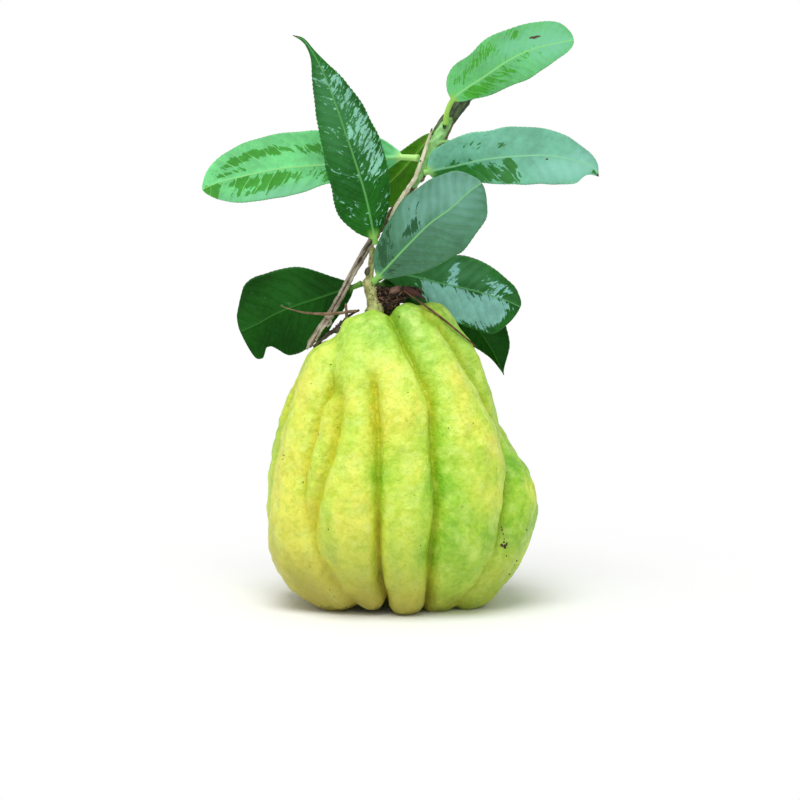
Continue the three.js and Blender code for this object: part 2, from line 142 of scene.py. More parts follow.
class Route:
    """Centripetal spline through knots, read by its share of arc length."""

    STEPS = 48

    def __init__(self, knots: Array) -> None:
        """Trace the spline finely and measure it.

        Between two knots the curve is the cubic whose end slopes come from the neighbours,
        with time steps equal to the square root of the distance between knots.

        Args:
            knots: Places that the route passes, shape (n, 3).
        """
        ends = [2 * knots[0] - knots[1], *knots, 2 * knots[-1] - knots[-2]]
        share = np.linspace(0.0, 1.0, self.STEPS, endpoint=False)[:, None]
        pieces = [self._span(*ends[i:i + 4], share) for i in range(len(knots) - 1)]
        self.trace = np.vstack([*pieces, knots[-1:]])
        steps = np.linalg.norm(np.diff(self.trace, axis=0), axis=1)
        self.run = np.concatenate([[0.0], np.cumsum(steps)])
        self.length = float(self.run[-1])

    @staticmethod
    def _span(before: Array, start: Array, end: Array, after: Array, share: Array) -> Array:
        """Points of the cubic between two knots.

        Args:
            before: The knot before the span.
            start: The span's first knot.
            end: The span's last knot.
            after: The knot after it.
            share: Shares of the span's time, shape (n, 1).

        Returns:
            Points, shape (n, 3).
        """
        first, middle, last = (math.sqrt(np.linalg.norm(b - a))
                               for a, b in ((before, start), (start, end), (end, after)))
        leave = middle * ((start - before) / first - (end - before) / (first + middle)
                          + (end - start) / middle)
        arrive = middle * ((end - start) / middle - (after - start) / (middle + last)
                           + (after - end) / last)
        square = 3 * (end - start) - 2 * leave - arrive
        cube = 2 * (start - end) + leave + arrive
        return start + share * (leave + share * (square + share * cube))

    def at(self, share: Array) -> Array:
        """Places at shares of the length, shape (n, 3)."""
        run = np.asarray(share) * self.length
        return np.stack([np.interp(run, self.run, self.trace[:, k]) for k in range(3)], axis=1)

    def knot(self, share: Array) -> Array:
        """Knot numbers at shares of the length."""
        passed = self.run[::self.STEPS]
        return np.interp(np.asarray(share) * self.length, passed, np.arange(len(passed)))

    def frames(self, share: Array) -> tuple[Array, Array, Array]:
        """Unit vectors along the route, across it in the x-z plane, and facing the front.

        Args:
            share: Shares of the length.

        Returns:
            Three arrays of shape (n, 3): along, across = (-z, 0, x) of along, and along x across.
        """
        reach = 0.03
        centre = np.clip(share, reach, 1 - reach)
        ahead = self.at(centre + reach) - self.at(centre - reach)
        ahead /= np.linalg.norm(ahead, axis=1, keepdims=True)
        across = np.stack([-ahead[:, 2], np.zeros(len(ahead)), ahead[:, 0]], axis=1)
        across /= np.linalg.norm(across, axis=1, keepdims=True)
        return ahead, across, np.cross(ahead, across)


def tube_faces(rings: int, around: int) -> Faces:
    """Faces of a closed form: a start point, rings of points, and an end point.

    Args:
        rings: Number of rings.
        around: Points in each ring.

    Returns:
        Triangles at both ends, shape (2 * around, 3), and quads between the rings, facing out.
    """
    column = np.arange(around)
    following = (column + 1) % around
    base = 1 + np.arange(rings - 1)[:, None] * around
    quads = np.stack([base + column, base + following, base + around + following,
                      base + around + column], axis=-1).reshape(-1, 4)
    last = 1 + (rings - 1) * around
    start = np.stack([np.zeros(around, int), 1 + following, 1 + column], axis=1)
    end = np.stack([np.full(around, last + around), last + column, last + following], axis=1)
    return np.vstack([start, end]), quads


def with_ends(marks: dict[str, Array]) -> dict[str, Array]:
    """Give a tube's marks a value for the point that closes each end.

    Args:
        marks: Marks by name, each of shape (rings, around).

    Returns:
        The same marks in a row, with the first and last ring's first value at the ends.
    """
    return {label: np.concatenate([[grid[0, 0]], grid.ravel(), [grid[-1, 0]]])
            for label, grid in marks.items()}


def make_piece(name: str, points: Array, faces: Faces, marks: dict[str, Array],
               chart: Array | None = None) -> bpy.types.Object:
    """Put points and faces into a smooth mesh object at the origin.

    Args:
        name: Name of the piece.
        points: Places in millimetres from the fruit's axis, shape (n, 3).
        faces: Triangles and quads.
        marks: Numbers per point for the finish, by name.
        chart: Flat coordinates per point for the UV map, shape (n, 2).

    Returns:
        The new object, linked to the scene.
    """
    mesh = bpy.data.meshes.new(name)
    mesh.from_pydata(((points + FOOTPRINT_SHIFT) * MM).tolist(), [],
                     [*faces[0].tolist(), *faces[1].tolist()])
    for label, values in marks.items():
        layer = mesh.attributes.new(label, "FLOAT", "POINT")
        layer.data.foreach_set("value", np.ascontiguousarray(values, np.float32))
    if chart is not None:
        corners = np.empty(len(mesh.loops), np.int32)
        mesh.loops.foreach_get("vertex_index", corners)
        layer = mesh.uv_layers.new(name="chart")
        layer.uv.foreach_set("vector", np.ascontiguousarray(chart[corners], np.float32).ravel())
    mesh.shade_smooth()
    mesh.update()
    piece = bpy.data.objects.new(name, mesh)
    bpy.context.scene.collection.objects.link(piece)
    return piece


def settle(piece: bpy.types.Object, material: bpy.types.Material, slot: str, *nodes: str) -> None:
    """Give a piece its finish and its body, hide the nodes it stands for, and log its slot.

    Args:
        piece: The finished object.
        material: Its material.
        slot: Material slot of the record.
        nodes: Nodes of the frame that it replaces.
    """
    piece.data.materials.append(material)
    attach(piece, BODY)
    if nodes:
        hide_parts(*nodes)
    LOG.info("%s: %d points, slot %s, replaces %s", piece.name, len(piece.data.vertices), slot,
             ", ".join(nodes) or "nothing")


def shaded(colour: Colour, factor: float) -> Colour:
    """The colour made lighter or darker by a factor."""
    return (colour[0] * factor, colour[1] * factor, colour[2] * factor)


# ---------------------------------------------------------------- material building

class Shader:
    """Builds one node material, input by input."""

    def __init__(self, name: str) -> None:
        """Start a material with a plain surface shader.

        Args:
            name: Name of the material.
        """
        self.material = bpy.data.materials.new(name)
        self.material.use_nodes = True
        self.tree = self.material.node_tree
        self.surface = self.tree.nodes["Principled BSDF"]

    def node(self, kind: str, **settings: object) -> bpy.types.Node:
        """Add a node.

        Args:
            kind: Blender's name of the node type.
            settings: Properties to set on it.

        Returns:
            The new node.
        """
        made = self.tree.nodes.new(kind)
        for key, value in settings.items():
            setattr(made, key, value)
        return made

    def feed(self, socket: bpy.types.NodeSocket, value: object) -> None:
        """Link a socket to an output, or set it to a number or colour.

        Args:
            socket: The input.
            value: An output socket, a number, or three parts of a colour.
        """
        if isinstance(value, bpy.types.NodeSocket):
            self.tree.links.new(value, socket)
        elif isinstance(value, tuple) and socket.type == "RGBA":
            socket.default_value = (*value, 1.0)
        else:
            socket.default_value = value

    def place(self) -> bpy.types.NodeSocket:
        """Object coordinates in metres."""
        return self.node("ShaderNodeTexCoord").outputs["Object"]

    def mark(self, label: str) -> bpy.types.NodeSocket:
        """One of the numbers stored per point."""
        return self.node("ShaderNodeAttribute", attribute_name=label).outputs["Fac"]

    def vector(self, x: object, y: object, z: object) -> bpy.types.NodeSocket:
        """A vector put together from three numbers.

        Args:
            x: First part.
            y: Second part.
            z: Third part.

        Returns:
            The vector.
        """
        made = self.node("ShaderNodeCombineXYZ")
        for socket, value in zip(made.inputs, (x, y, z)):
            self.feed(socket, value)
        return made.outputs[0]

    def noise(self, where: bpy.types.NodeSocket, scale: float, detail: float = 3.0,
              roughness: float = 0.5) -> bpy.types.NodeSocket:
        """Soft noise around 0.5.

        Args:
            where: Coordinates.
            scale: Cells per unit.
            detail: Number of finer layers.
            roughness: Strength of each finer layer.

        Returns:
            The noise's value.
        """
        made = self.node("ShaderNodeTexNoise")
        for label, value in (("Vector", where), ("Scale", scale), ("Detail", detail),
                             ("Roughness", roughness)):
            self.feed(made.inputs[label], value)
        return made.outputs["Fac"]

    def cells(self, where: bpy.types.NodeSocket, scale: float) -> bpy.types.Node:
        """Random cells.

        Args:
            where: Coordinates.
            scale: Cells per unit.

        Returns:
            The node: its Distance is 0 at the cells' middles, its Color is random for each.
        """
        made = self.node("ShaderNodeTexVoronoi")
        self.feed(made.inputs["Vector"], where)
        self.feed(made.inputs["Scale"], scale)
        return made

    def math(self, operation: str, *values: object) -> bpy.types.NodeSocket:
        """One arithmetic step.

        Args:
            operation: Blender's name of the step.
            values: Numbers or outputs that it takes, in order.

        Returns:
            The result.
        """
        made = self.node("ShaderNodeMath", operation=operation)
        for socket, value in zip(made.inputs, values):
            self.feed(socket, value)
        return made.outputs[0]

    def rise(self, value: object, low: float, high: float, bottom: float = 0.0,
             top: float = 1.0) -> bpy.types.NodeSocket:
        """Smooth step between two levels.

        Args:
            value: The number to map.
            low: Where the step starts.
            high: Where it ends.
            bottom: Result below low.
            top: Result above high.

        Returns:
            The mapped number.
        """
        made = self.node("ShaderNodeMapRange", interpolation_type="SMOOTHSTEP")
        for socket, number in zip(made.inputs, (value, low, high, bottom, top)):
            self.feed(socket, number)
        return made.outputs[0]

    def mix(self, share: object, first: object, second: object,
            blend: str = "MIX") -> bpy.types.NodeSocket:
        """Blend two colours.

        Args:
            share: Share of the second.
            first: First colour.
            second: Second colour.
            blend: Blender's name of the way to blend.

        Returns:
            The blended colour.
        """
        made = self.node("ShaderNodeMix", data_type="RGBA", blend_type=blend)
        for index, value in ((0, share), (6, first), (7, second)):
            self.feed(made.inputs[index], value)
        return made.outputs[2]

    def ramp(self, share: object, stops: tuple[tuple[float, Colour], ...]) -> bpy.types.NodeSocket:
        """Colour read from a band of stops.

        Args:
            share: Where to read, 0 to 1.
            stops: Place and colour of each stop.

        Returns:
            The colour.
        """
        made = self.node("ShaderNodeValToRGB")
        band = made.color_ramp.elements
        while len(band) < len(stops):
            band.new(0.5)
        for element, (place, colour) in zip(band, stops):
            element.position = place
            element.color = (*colour, 1.0)
        self.feed(made.inputs[0], share)
        return made.outputs[0]

    def toned(self, share: object, colour: object, tone: Colour) -> bpy.types.NodeSocket:
        """A colour multiplied by a tone.

        Args:
            share: How much of the tone is applied.
            colour: The colour.
            tone: What its three parts are multiplied by.

        Returns:
            The toned colour.
        """
        return self.mix(share, colour, self.mix(1.0, colour, tone, "MULTIPLY"))

    def relief(self, height: object, depth: float,
               under: bpy.types.NodeSocket | None = None) -> bpy.types.NodeSocket:
        """Bump of the surface.

        Args:
            height: Height from 0 to 1.
            depth: What a height of 1 measures, mm.
            under: An earlier bump to add to.

        Returns:
            The bent normal.
        """
        made = self.node("ShaderNodeBump")
        self.feed(made.inputs["Distance"], depth * MM)
        self.feed(made.inputs["Height"], height)
        if under is not None:
            self.feed(made.inputs["Normal"], under)
        return made.outputs[0]

    def finish(self, **inputs: object) -> bpy.types.Material:
        """Feed the surface shader.

        Args:
            inputs: Values by input name, with underscores for spaces.

        Returns:
            The finished material.
        """
        for label, value in inputs.items():
            self.feed(self.surface.inputs[label.replace("_", " ")], value)
        return self.material


@dataclass(frozen=True)
class RindFinish:
    """Waxy citron rind that ripens from green to yellow, with oil dots and dark specks, and with
    painted shade in its valleys, creases and lower part and a painted highlight at its top.

    Scales are noise cells per metre, and depths are in millimetres.
    """

    ripe_band: tuple[tuple[float, Colour], ...] = (
        (0.0, (0.21, 0.52, 0.030)), (0.25, (0.34, 0.65, 0.045)), (0.5, (0.53, 0.77, 0.080)),
        (0.75, (0.70, 0.83, 0.105)), (1.0, (0.83, 0.84, 0.125)))
    # Pale colour of the waxy patches, also used for a painted highlight towards the top.
    bloom_and_highlight: Colour = (0.72, 0.93, 0.24)
    # Colours of the crease lines: partly the creases' own brown, partly painted shade.
    ripe_crease_and_shade: Colour = (0.42, 0.25, 0.008)
    green_crease_and_shade: Colour = (0.25, 0.31, 0.006)
    # Tone multiplied in for painted shade in the valleys between the fingers.
    valley_shade: Colour = (0.80, 0.70, 0.16)
    speck: Colour = (0.055, 0.045, 0.020)
    scar: Colour = (0.40, 0.24, 0.030)
    # Brown of the finger tips, partly their own colour and partly painted shade.
    tip: Colour = (0.46, 0.37, 0.075)
    dot_tone: Colour = (0.62, 0.72, 0.40)
    mottle_tone: Colour = (0.74, 0.80, 0.42)
    # Tone multiplied in for painted shade on the lower part of the fruit.
    low_shade_tone: Colour = (0.80, 0.82, 0.74)
    broad_scale: float = 95.0
    small_scale: float = 260.0
    bloom_scale: float = 170.0
    dot_scale: float = 780.0
    mottle_scale: float = 250.0
    mottle_fine_scale: float = 520.0
    rough_scale: float = 420.0
    scar_scale: float = 700.0
    speck_scale: float = 125.0
    dot_share: float = 0.1
    mottle_share: float = 0.7
    dimple_depth: float = 0.09
    rough_depth: float = 0.75
    specular: float = 0.28

    def dress(self) -> bpy.types.Material:
        """Make the material.

        Ripeness plus two layers of noise reads the colour band. Pale waxy patches with a painted
        highlight towards the top, darker oil dots and mottling, crease lines that are partly their
        own colour and partly painted shade, painted shade in the valleys, browner tips with painted
        shade towards the ground, a brown scar and sparse specks are laid over it.

        Returns:
            The material.
        """
        shader = Shader("citron_rind")
        place = shader.place()
        long = shader.node("ShaderNodeMapping")
        shader.feed(long.inputs["Vector"], place)
        long.inputs["Scale"].default_value = (1.0, 1.0, 0.5)
        broad = shader.noise(long.outputs[0], self.broad_scale, 3.0, 0.5)
        small = shader.noise(place, self.small_scale, 3.0, 0.6)
        ripe = shader.math("MULTIPLY_ADD", broad, 1.0, shader.mark("ripeness"))
        ripe = shader.math("MULTIPLY_ADD", small, 0.34, ripe)
        ripe = shader.math("SUBTRACT", ripe, 0.66)
        colour = shader.ramp(ripe, self.ripe_band)
        height = shader.node("ShaderNodeSeparateXYZ")
        shader.feed(height.inputs[0], place)
        # Pale patches from noise, plus a painted highlight that grows towards the top of the fruit.
        bloom_and_highlight = shader.noise(place, self.bloom_scale, 3.0, 0.6)
        pale = shader.math("ADD", shader.rise(bloom_and_highlight, 0.46, 0.66, 0.0, 0.40),
                           shader.rise(height.outputs[2], 0.080, 0.110, 0.0, 0.2))
        colour = shader.mix(pale, colour, self.bloom_and_highlight)
        dots = shader.cells(place, self.dot_scale)
        dot = shader.rise(dots.outputs["Distance"], 0.12, 0.42, 1.0, 0.0)
        colour = shader.toned(shader.math("MULTIPLY", dot, self.dot_share), colour, self.dot_tone)
        fine = shader.noise(place, self.mottle_fine_scale, 2.0, 0.6)
        mottle = shader.math("ADD", shader.noise(place, self.mottle_scale, 2.0), fine)
        colour = shader.toned(shader.rise(mottle, 0.72, 1.15, self.mottle_share, 0.0), colour,
                              self.mottle_tone)
        colour = self._creased(shader, colour)
        colour = self._tipped_and_shaded(shader, shader.math("MULTIPLY_ADD", broad, 0.03, height.outputs[2]),
                              colour)
        colour = self._marked(shader, place, colour)
        dimple = shader.relief(dot, -self.dimple_depth)
        rough = shader.relief(shader.noise(place, self.rough_scale), self.rough_depth, dimple)
        gloss = shader.rise(small, 0.3, 0.7, 0.36, 0.46)
        return shader.finish(Base_Color=colour, Roughness=gloss, Normal=rough,
                             Subsurface_Weight=0.06, Subsurface_Radius=(1.0, 0.9, 0.3),
                             Subsurface_Scale=0.0015, Specular_IOR_Level=self.specular)

    def _tipped_and_shaded(self, shader: Shader, height: bpy.types.NodeSocket,
                colour: bpy.types.NodeSocket) -> bpy.types.NodeSocket:
        """Turn the finger tips browner and darker towards the ground. The darkening is painted
        shade, and the browning is partly the tips' own colour and partly painted shade.

        Args:
            shader: The material in the making.
            height: Height above the ground in metres, a little uneven.
            colour: Colour so far.

        Returns:
            The new colour.
        """
        # Browner tips, partly painted shade on the lower fingers.
        brown = shader.math("MULTIPLY", shader.rise(height, 0.012, 0.062, 0.85, 0.0),
                            shader.rise(shader.mark("ripeness"), 0.3, 1.0, 0.25, 1.0))
        colour = shader.mix(brown, colour, self.tip)
        # Painted shade: the rind darker towards the ground.
        return shader.toned(shader.rise(height, 0.014, 0.060, 1.0, 0.0), colour, self.low_shade_tone)

    def _creased(self, shader: Shader, colour: bpy.types.NodeSocket) -> bpy.types.NodeSocket:
        """Paint shade into the valleys between the fingers, and a darker line along each crease,
        browner where the fruit is ripe: that line is partly the crease's own colour, partly painted
        shade.

        Args:
            shader: The material in the making.
            colour: Colour so far.

        Returns:
            The new colour.
        """
        tone = shader.mix(shader.rise(shader.mark("ripeness"), 0.3, 0.8), self.green_crease_and_shade,
                          self.ripe_crease_and_shade)
        # Painted shade, darkest in the middle of each valley between the fingers.
        shade = shader.rise(shader.mark("valley_shade"), 0.12, 0.9, 0.0, 0.85)
        colour = shader.toned(shade, colour, self.valley_shade)
        # The crease line: partly the crease's own colour, partly painted shade.
        return shader.mix(shader.rise(shader.mark("crease"), 0.3, 1.0, 0.0, 0.75), colour, tone)

    def _marked(self, shader: Shader, place: bpy.types.NodeSocket,
                colour: bpy.types.NodeSocket) -> bpy.types.NodeSocket:
        """Add the brown scar and sparse black specks, at most one in a cell of 8 mm.

        Args:
            shader: The material in the making.
            place: Coordinates.
            colour: Colour so far.

        Returns:
            The new colour.
        """
        scar = shader.math("MULTIPLY_ADD", shader.noise(place, self.scar_scale), 0.6,
                           shader.mark("scar"))
        colour = shader.mix(shader.rise(scar, 0.70, 1.10, 0.0, 0.7), colour, self.scar)
        cells = shader.cells(place, self.speck_scale)
        chosen = shader.math("GREATER_THAN", cells.outputs["Color"], 0.60)
        spot = shader.rise(cells.outputs["Distance"], 0.022, 0.042, 0.9, 0.0)
        return shader.mix(shader.math("MULTIPLY", chosen, spot), colour, self.speck)


@dataclass(frozen=True)
class WoodFinish:
    """Bark or dry wood: two tones in streaks along the piece, dark cracks and pore dots.

    streak is how much of the coarse and fibre scales a millimetre of length counts for, the
    other scales are noise cells per metre, and relief is in millimetres.
    """

    light: Colour
    dark: Colour
    crack: Colour = (0.030, 0.024, 0.014)
    streak: float = 0.16
    crack_share: float = 0.35
    dots: float = 0.0
    roughness: float = 0.75
    relief: float = 0.25
    coarse_scale: float = 1.6
    fibre_scale: float = 5.5
    cloud_scale: float = 300.0
    dot_scale: float = 900.0
    stain_scale: float = 600.0

    def dress(self, name: str) -> bpy.types.Material:
        """Make the material from noise stretched along the piece.

        Args:
            name: Name of the material.

        Returns:
            The material.
        """
        shader = Shader(name)
        grain = shader.vector(shader.mark("turn_cos"), shader.mark("turn_sin"),
                              shader.math("MULTIPLY", shader.mark("run"), self.streak))
        coarse = shader.noise(grain, self.coarse_scale, 3.0, 0.6)
        fibre = shader.noise(grain, self.fibre_scale, 3.0, 0.65)
        place = shader.place()
        cloud = shader.noise(place, self.cloud_scale)
        tone = shader.rise(shader.math("ADD", coarse, cloud), 0.75, 1.25)
        colour = shader.mix(tone, self.dark, self.light)
        crack = shader.rise(fibre, 0.60, 0.70, 0.0, self.crack_share)
        colour = shader.mix(crack, colour, self.crack)
        spots = shader.cells(place, self.dot_scale)
        spot = shader.rise(spots.outputs["Distance"], 0.16, 0.34, self.dots, 0.0)
        kept = shader.math("GREATER_THAN", spots.outputs["Color"], 0.45)
        colour = shader.mix(shader.math("MULTIPLY", spot, kept), colour, self.crack)
        stain = shader.math("MULTIPLY_ADD", shader.noise(place, self.stain_scale), 0.8,
                            shader.mark("stain"))
        colour = shader.mix(shader.rise(stain, 0.75, 1.05, 0.0, 0.92), colour, self.crack)
        bump = shader.relief(fibre, self.relief)
        return shader.finish(Base_Color=colour, Normal=bump,
                             Roughness=shader.rise(cloud, 0.3, 0.7, self.roughness - 0.08,
                                                   self.roughness + 0.08))


@dataclass(frozen=True)
class LitterFinish:
    """Crumbled dry plant matter, its tone different on every chip."""

    light: Colour = (0.165, 0.085, 0.050)
    dark: Colour = (0.018, 0.012, 0.008)
    roughness: float = 0.85
    fine_scale: float = 900.0
    relief: float = 0.3

    def dress(self, name: str) -> bpy.types.Material:
        """Make the material from each chip's own shade and fine noise.

        Args:
            name: Name of the material.

        Returns:
            The material.
        """
        shader = Shader(name)
        fine = shader.noise(shader.place(), self.fine_scale)
        tone = shader.math("MULTIPLY_ADD", fine, 0.5, shader.mark("shade"))
        colour = shader.mix(shader.rise(tone, 0.25, 1.25), self.dark, self.light)
        rough = shader.rise(fine, 0.3, 0.7, self.roughness - 0.1, self.roughness + 0.1)
        return shader.finish(Base_Color=colour, Normal=shader.relief(fine, self.relief),
                             Roughness=rough)


@dataclass(frozen=True)
class LeafFinish:
    """Colours and gloss of a leaf: its front, crisp patches, soft sheen, ribs, stalk and back.
    The soft sheen is a painted reflection, and so is the pale patch colour of the wet and
    slick blades.

    vein_tint is how pale the side veins are, streak the noise cells per vein gap and per 5 mm
    out from the midrib, and quilt how much the painted sheen changes between two veins. The
    scales are noise cells per metre.
    """

    face: Colour
    patch: Colour
    # Colour of the soft sheen, a painted reflection.
    sheen: Colour
    rib: Colour
    stem: Colour
    back: Colour
    face_roughness: float = 0.45
    patch_roughness: float = 0.28
    gloss: float = 0.3
    vein_tint: float = 0.3
    streak: tuple[float, float] = (1.7, 0.9)
    contrast: float = 0.18
    quilt: float = 0.25
    rib_share: float = 0.9
    scar: Colour = (0.10, 0.030, 0.018)
    fine_scale: float = 520.0
    cloud_scale: float = 60.0
    sheen_scale: float = 150.0
    scar_scale: float = 900.0
    relief: float = 0.12
    film_edge: tuple[float, float] = (0.57, 0.60)

    def dress(self, name: str) -> bpy.types.Material:
        """Make the material: a mottled blade with a painted sheen, pale ribs, and patches along the
        side veins.

        Args:
            name: Name of the material.

        Returns:
            The material.
        """
        shader = Shader(name)
        place = shader.place()
        fine = shader.noise(place, self.fine_scale)
        grain = shader.math("MULTIPLY_ADD", fine, 0.5, shader.noise(place, self.cloud_scale, 2.0))
        grain = shader.rise(grain, 0.5, 1.0)
        away = shader.math("ABSOLUTE", shader.math("SUBTRACT", shader.math(
            "FRACT", shader.mark("vein")), 0.5))
        line = shader.rise(away, 0.01, 0.07, 1.0, 0.0)
        rib = shader.rise(shader.mark("rib"), 0.35, 1.0, self.rib_share, 0.0)
        film = self._film(shader, line)
        # Where the painted sheen shows, with lighter bands between the veins: a painted reflection.
        soft = shader.math("MULTIPLY_ADD", shader.noise(place, self.sheen_scale), 0.5,
                           shader.mark("sheen"))
        band = shader.rise(away, 0.08, 0.42, -0.5, 0.5)
        soft = shader.math("MULTIPLY_ADD", band, self.quilt, soft)
        face = shader.mix(grain, shaded(self.face, 1 - self.contrast),
                          shaded(self.face, 1 + self.contrast))
        face = shader.mix(shader.rise(soft, 0.22, 1.28), face, self.sheen)
        # Patches: darker wet areas on most blades; on the wet and slick blades their pale colour is
        # a painted reflection.
        patch = shader.mix(grain, shaded(self.patch, 0.8), shaded(self.patch, 1.15))
        face = shader.mix(film, face, patch)
        face = shader.mix(shader.math("MULTIPLY", line, self.vein_tint), face, self.rib)
        back = shader.mix(grain, shaded(self.back, 0.8), shaded(self.back, 1.16))
        back = shader.mix(shader.math("MULTIPLY", line, 0.3), back, self.rib)
        colour = shader.mix(rib, shader.mix(shader.mark("front"), back, face), self.rib)
        colour = shader.mix(shader.mark("stem"), colour, self.stem)
        scar = shader.math("MULTIPLY_ADD", shader.noise(place, self.scar_scale), 0.7,
                           shader.mark("scar"))
        colour = shader.mix(shader.rise(scar, 0.8, 0.95, 0.0, 0.95), colour, self.scar)
        return shader.finish(Base_Color=colour, Normal=shader.relief(fine, self.relief),
                             Specular_IOR_Level=self.gloss,
                             Roughness=shader.rise(film, 0.0, 1.0, self.face_roughness,
                                                   self.patch_roughness))

    def _film(self, shader: Shader, line: bpy.types.NodeSocket) -> bpy.types.NodeSocket:
        """Where the patches are: streaky noise on the blade's chart, more between some veins.

        Args:
            shader: The material in the making.
            line: 1 on a side vein and 0 between them.

        Returns:
            1 in a patch and 0 outside it.
        """
        chart = shader.node("ShaderNodeMapping")
        shader.feed(chart.inputs["Vector"],
                    shader.node("ShaderNodeUVMap", uv_map="chart").outputs[0])
        chart.inputs["Scale"].default_value = (*self.streak, 1.0)
        streaks = shader.noise(chart.outputs[0], 1.0, 5.0, 0.68)
        level = shader.math("ADD", streaks, shader.mark("patch"))
        level = shader.math("MULTIPLY_ADD", line, -0.12, level)
        lane = shader.node("ShaderNodeTexWhiteNoise", noise_dimensions="1D")
        shader.feed(lane.inputs["W"], shader.math("FLOOR", shader.math(
            "ADD", shader.mark("vein"), 0.5)))
        level = shader.math("MULTIPLY_ADD", lane.outputs["Value"], 0.16, level)
        return shader.rise(level, *self.film_edge)


# ---------------------------------------------------------------- fruit

@dataclass(frozen=True)
class Finger:
    """One finger of the fruit: a row of balls from the stalk end to the tip.

    knots holds x, y, z and radius of each ball and its ripeness, 0 green to 1 yellow. blend
    rounds the crease to the fingers before it, and groove cuts that crease deeper, up to
    groove_top. line is how dark that crease is, and soft (0 to 1) widens it below soft_top.
    groove_fade and soft_fade are the heights over which these two fade. step_share is how far
    a step of the search for the nearest ball goes, and a half keeps it from swinging.
    """

    blend: float
    groove: float
    groove_top: float
    knots: tuple[tuple[float, float, float, float, float], ...]
    line: float = 0.7
    soft: float = 0.0
    soft_top: float = 44.0
    soft_fade: float = 16.0
    groove_fade: float = 12.0
    step_share: float = 0.5

    @cached_property
    def table(self) -> Array:
        """The knots as an array."""
        return np.array(self.knots, float)

    def softened(self, height: Array) -> Array:
        """How much the crease is widened at each height, 0 to 1."""
        return self.soft * (1.0 - smoothstep(height, self.soft_top - self.soft_fade, self.soft_top))

    def grooved(self, height: Array) -> Array:
        """How much of the groove is left at each height, 0 to 1."""
        top = 1.0 - smoothstep(height, self.groove_top - self.groove_fade, self.groove_top)
        return top * (1.0 - self.softened(height))

    @cached_property
    def cubics(self) -> Array:
        """Each span's Catmull-Rom cubic, for the five columns of the table.

        Returns:
            Coefficients, constant term first, shape (4, spans, 5).
        """
        knots = self.table
        padded = np.vstack([2 * knots[0] - knots[1], knots, 2 * knots[-1] - knots[-2]])
        before, start, end, after = (padded[k:len(padded) - 3 + k] for k in range(4))
        return 0.5 * np.stack([2 * start, end - before, 2 * before - 5 * start + 4 * end - after,
                               3 * start - before - 3 * end + after])

    def first_guess(self, height: Array) -> Array:
        """Knot numbers at which the finger passes the given heights."""
        return np.interp(-height, -self.table[:, 2], np.arange(len(self.table)))

    def step(self, points: Array, knot: Array) -> tuple[Array, Array, Array]:
        """Distance to the ball at a knot number, and a better knot number.

        The better one goes half of the way along the finger to where a ball's surface comes
        nearest: t + 0.5 (v.c' + r'|v|) / |c'|^2, with v from the ball's middle c to the point.

        Args:
            points: Places, shape (n, 3).
            knot: Knot number for each.

        Returns:
            Distances, ripeness there, and better knot numbers.
        """
        span = np.minimum(knot.astype(int), self.cubics.shape[1] - 1)
        share = (knot - span)[:, None]
        flat, linear, square, cube = (part[span] for part in self.cubics)
        ball = flat + share * (linear + share * (square + share * cube))
        slope = linear + share * (2 * square + 3 * share * cube)
        away = points - ball[:, :3]
        far = np.sqrt(np.einsum("ij,ij->i", away, away))
        gain = np.einsum("ij,ij->i", away, slope[:, :3]) + slope[:, 3] * far
        pace = np.einsum("ij,ij->i", slope[:, :3], slope[:, :3])
        better = np.clip(knot + self.step_share * gain / pace, 0.0, self.cubics.shape[1])
        return far - ball[:, 3], ball[:, 4], better


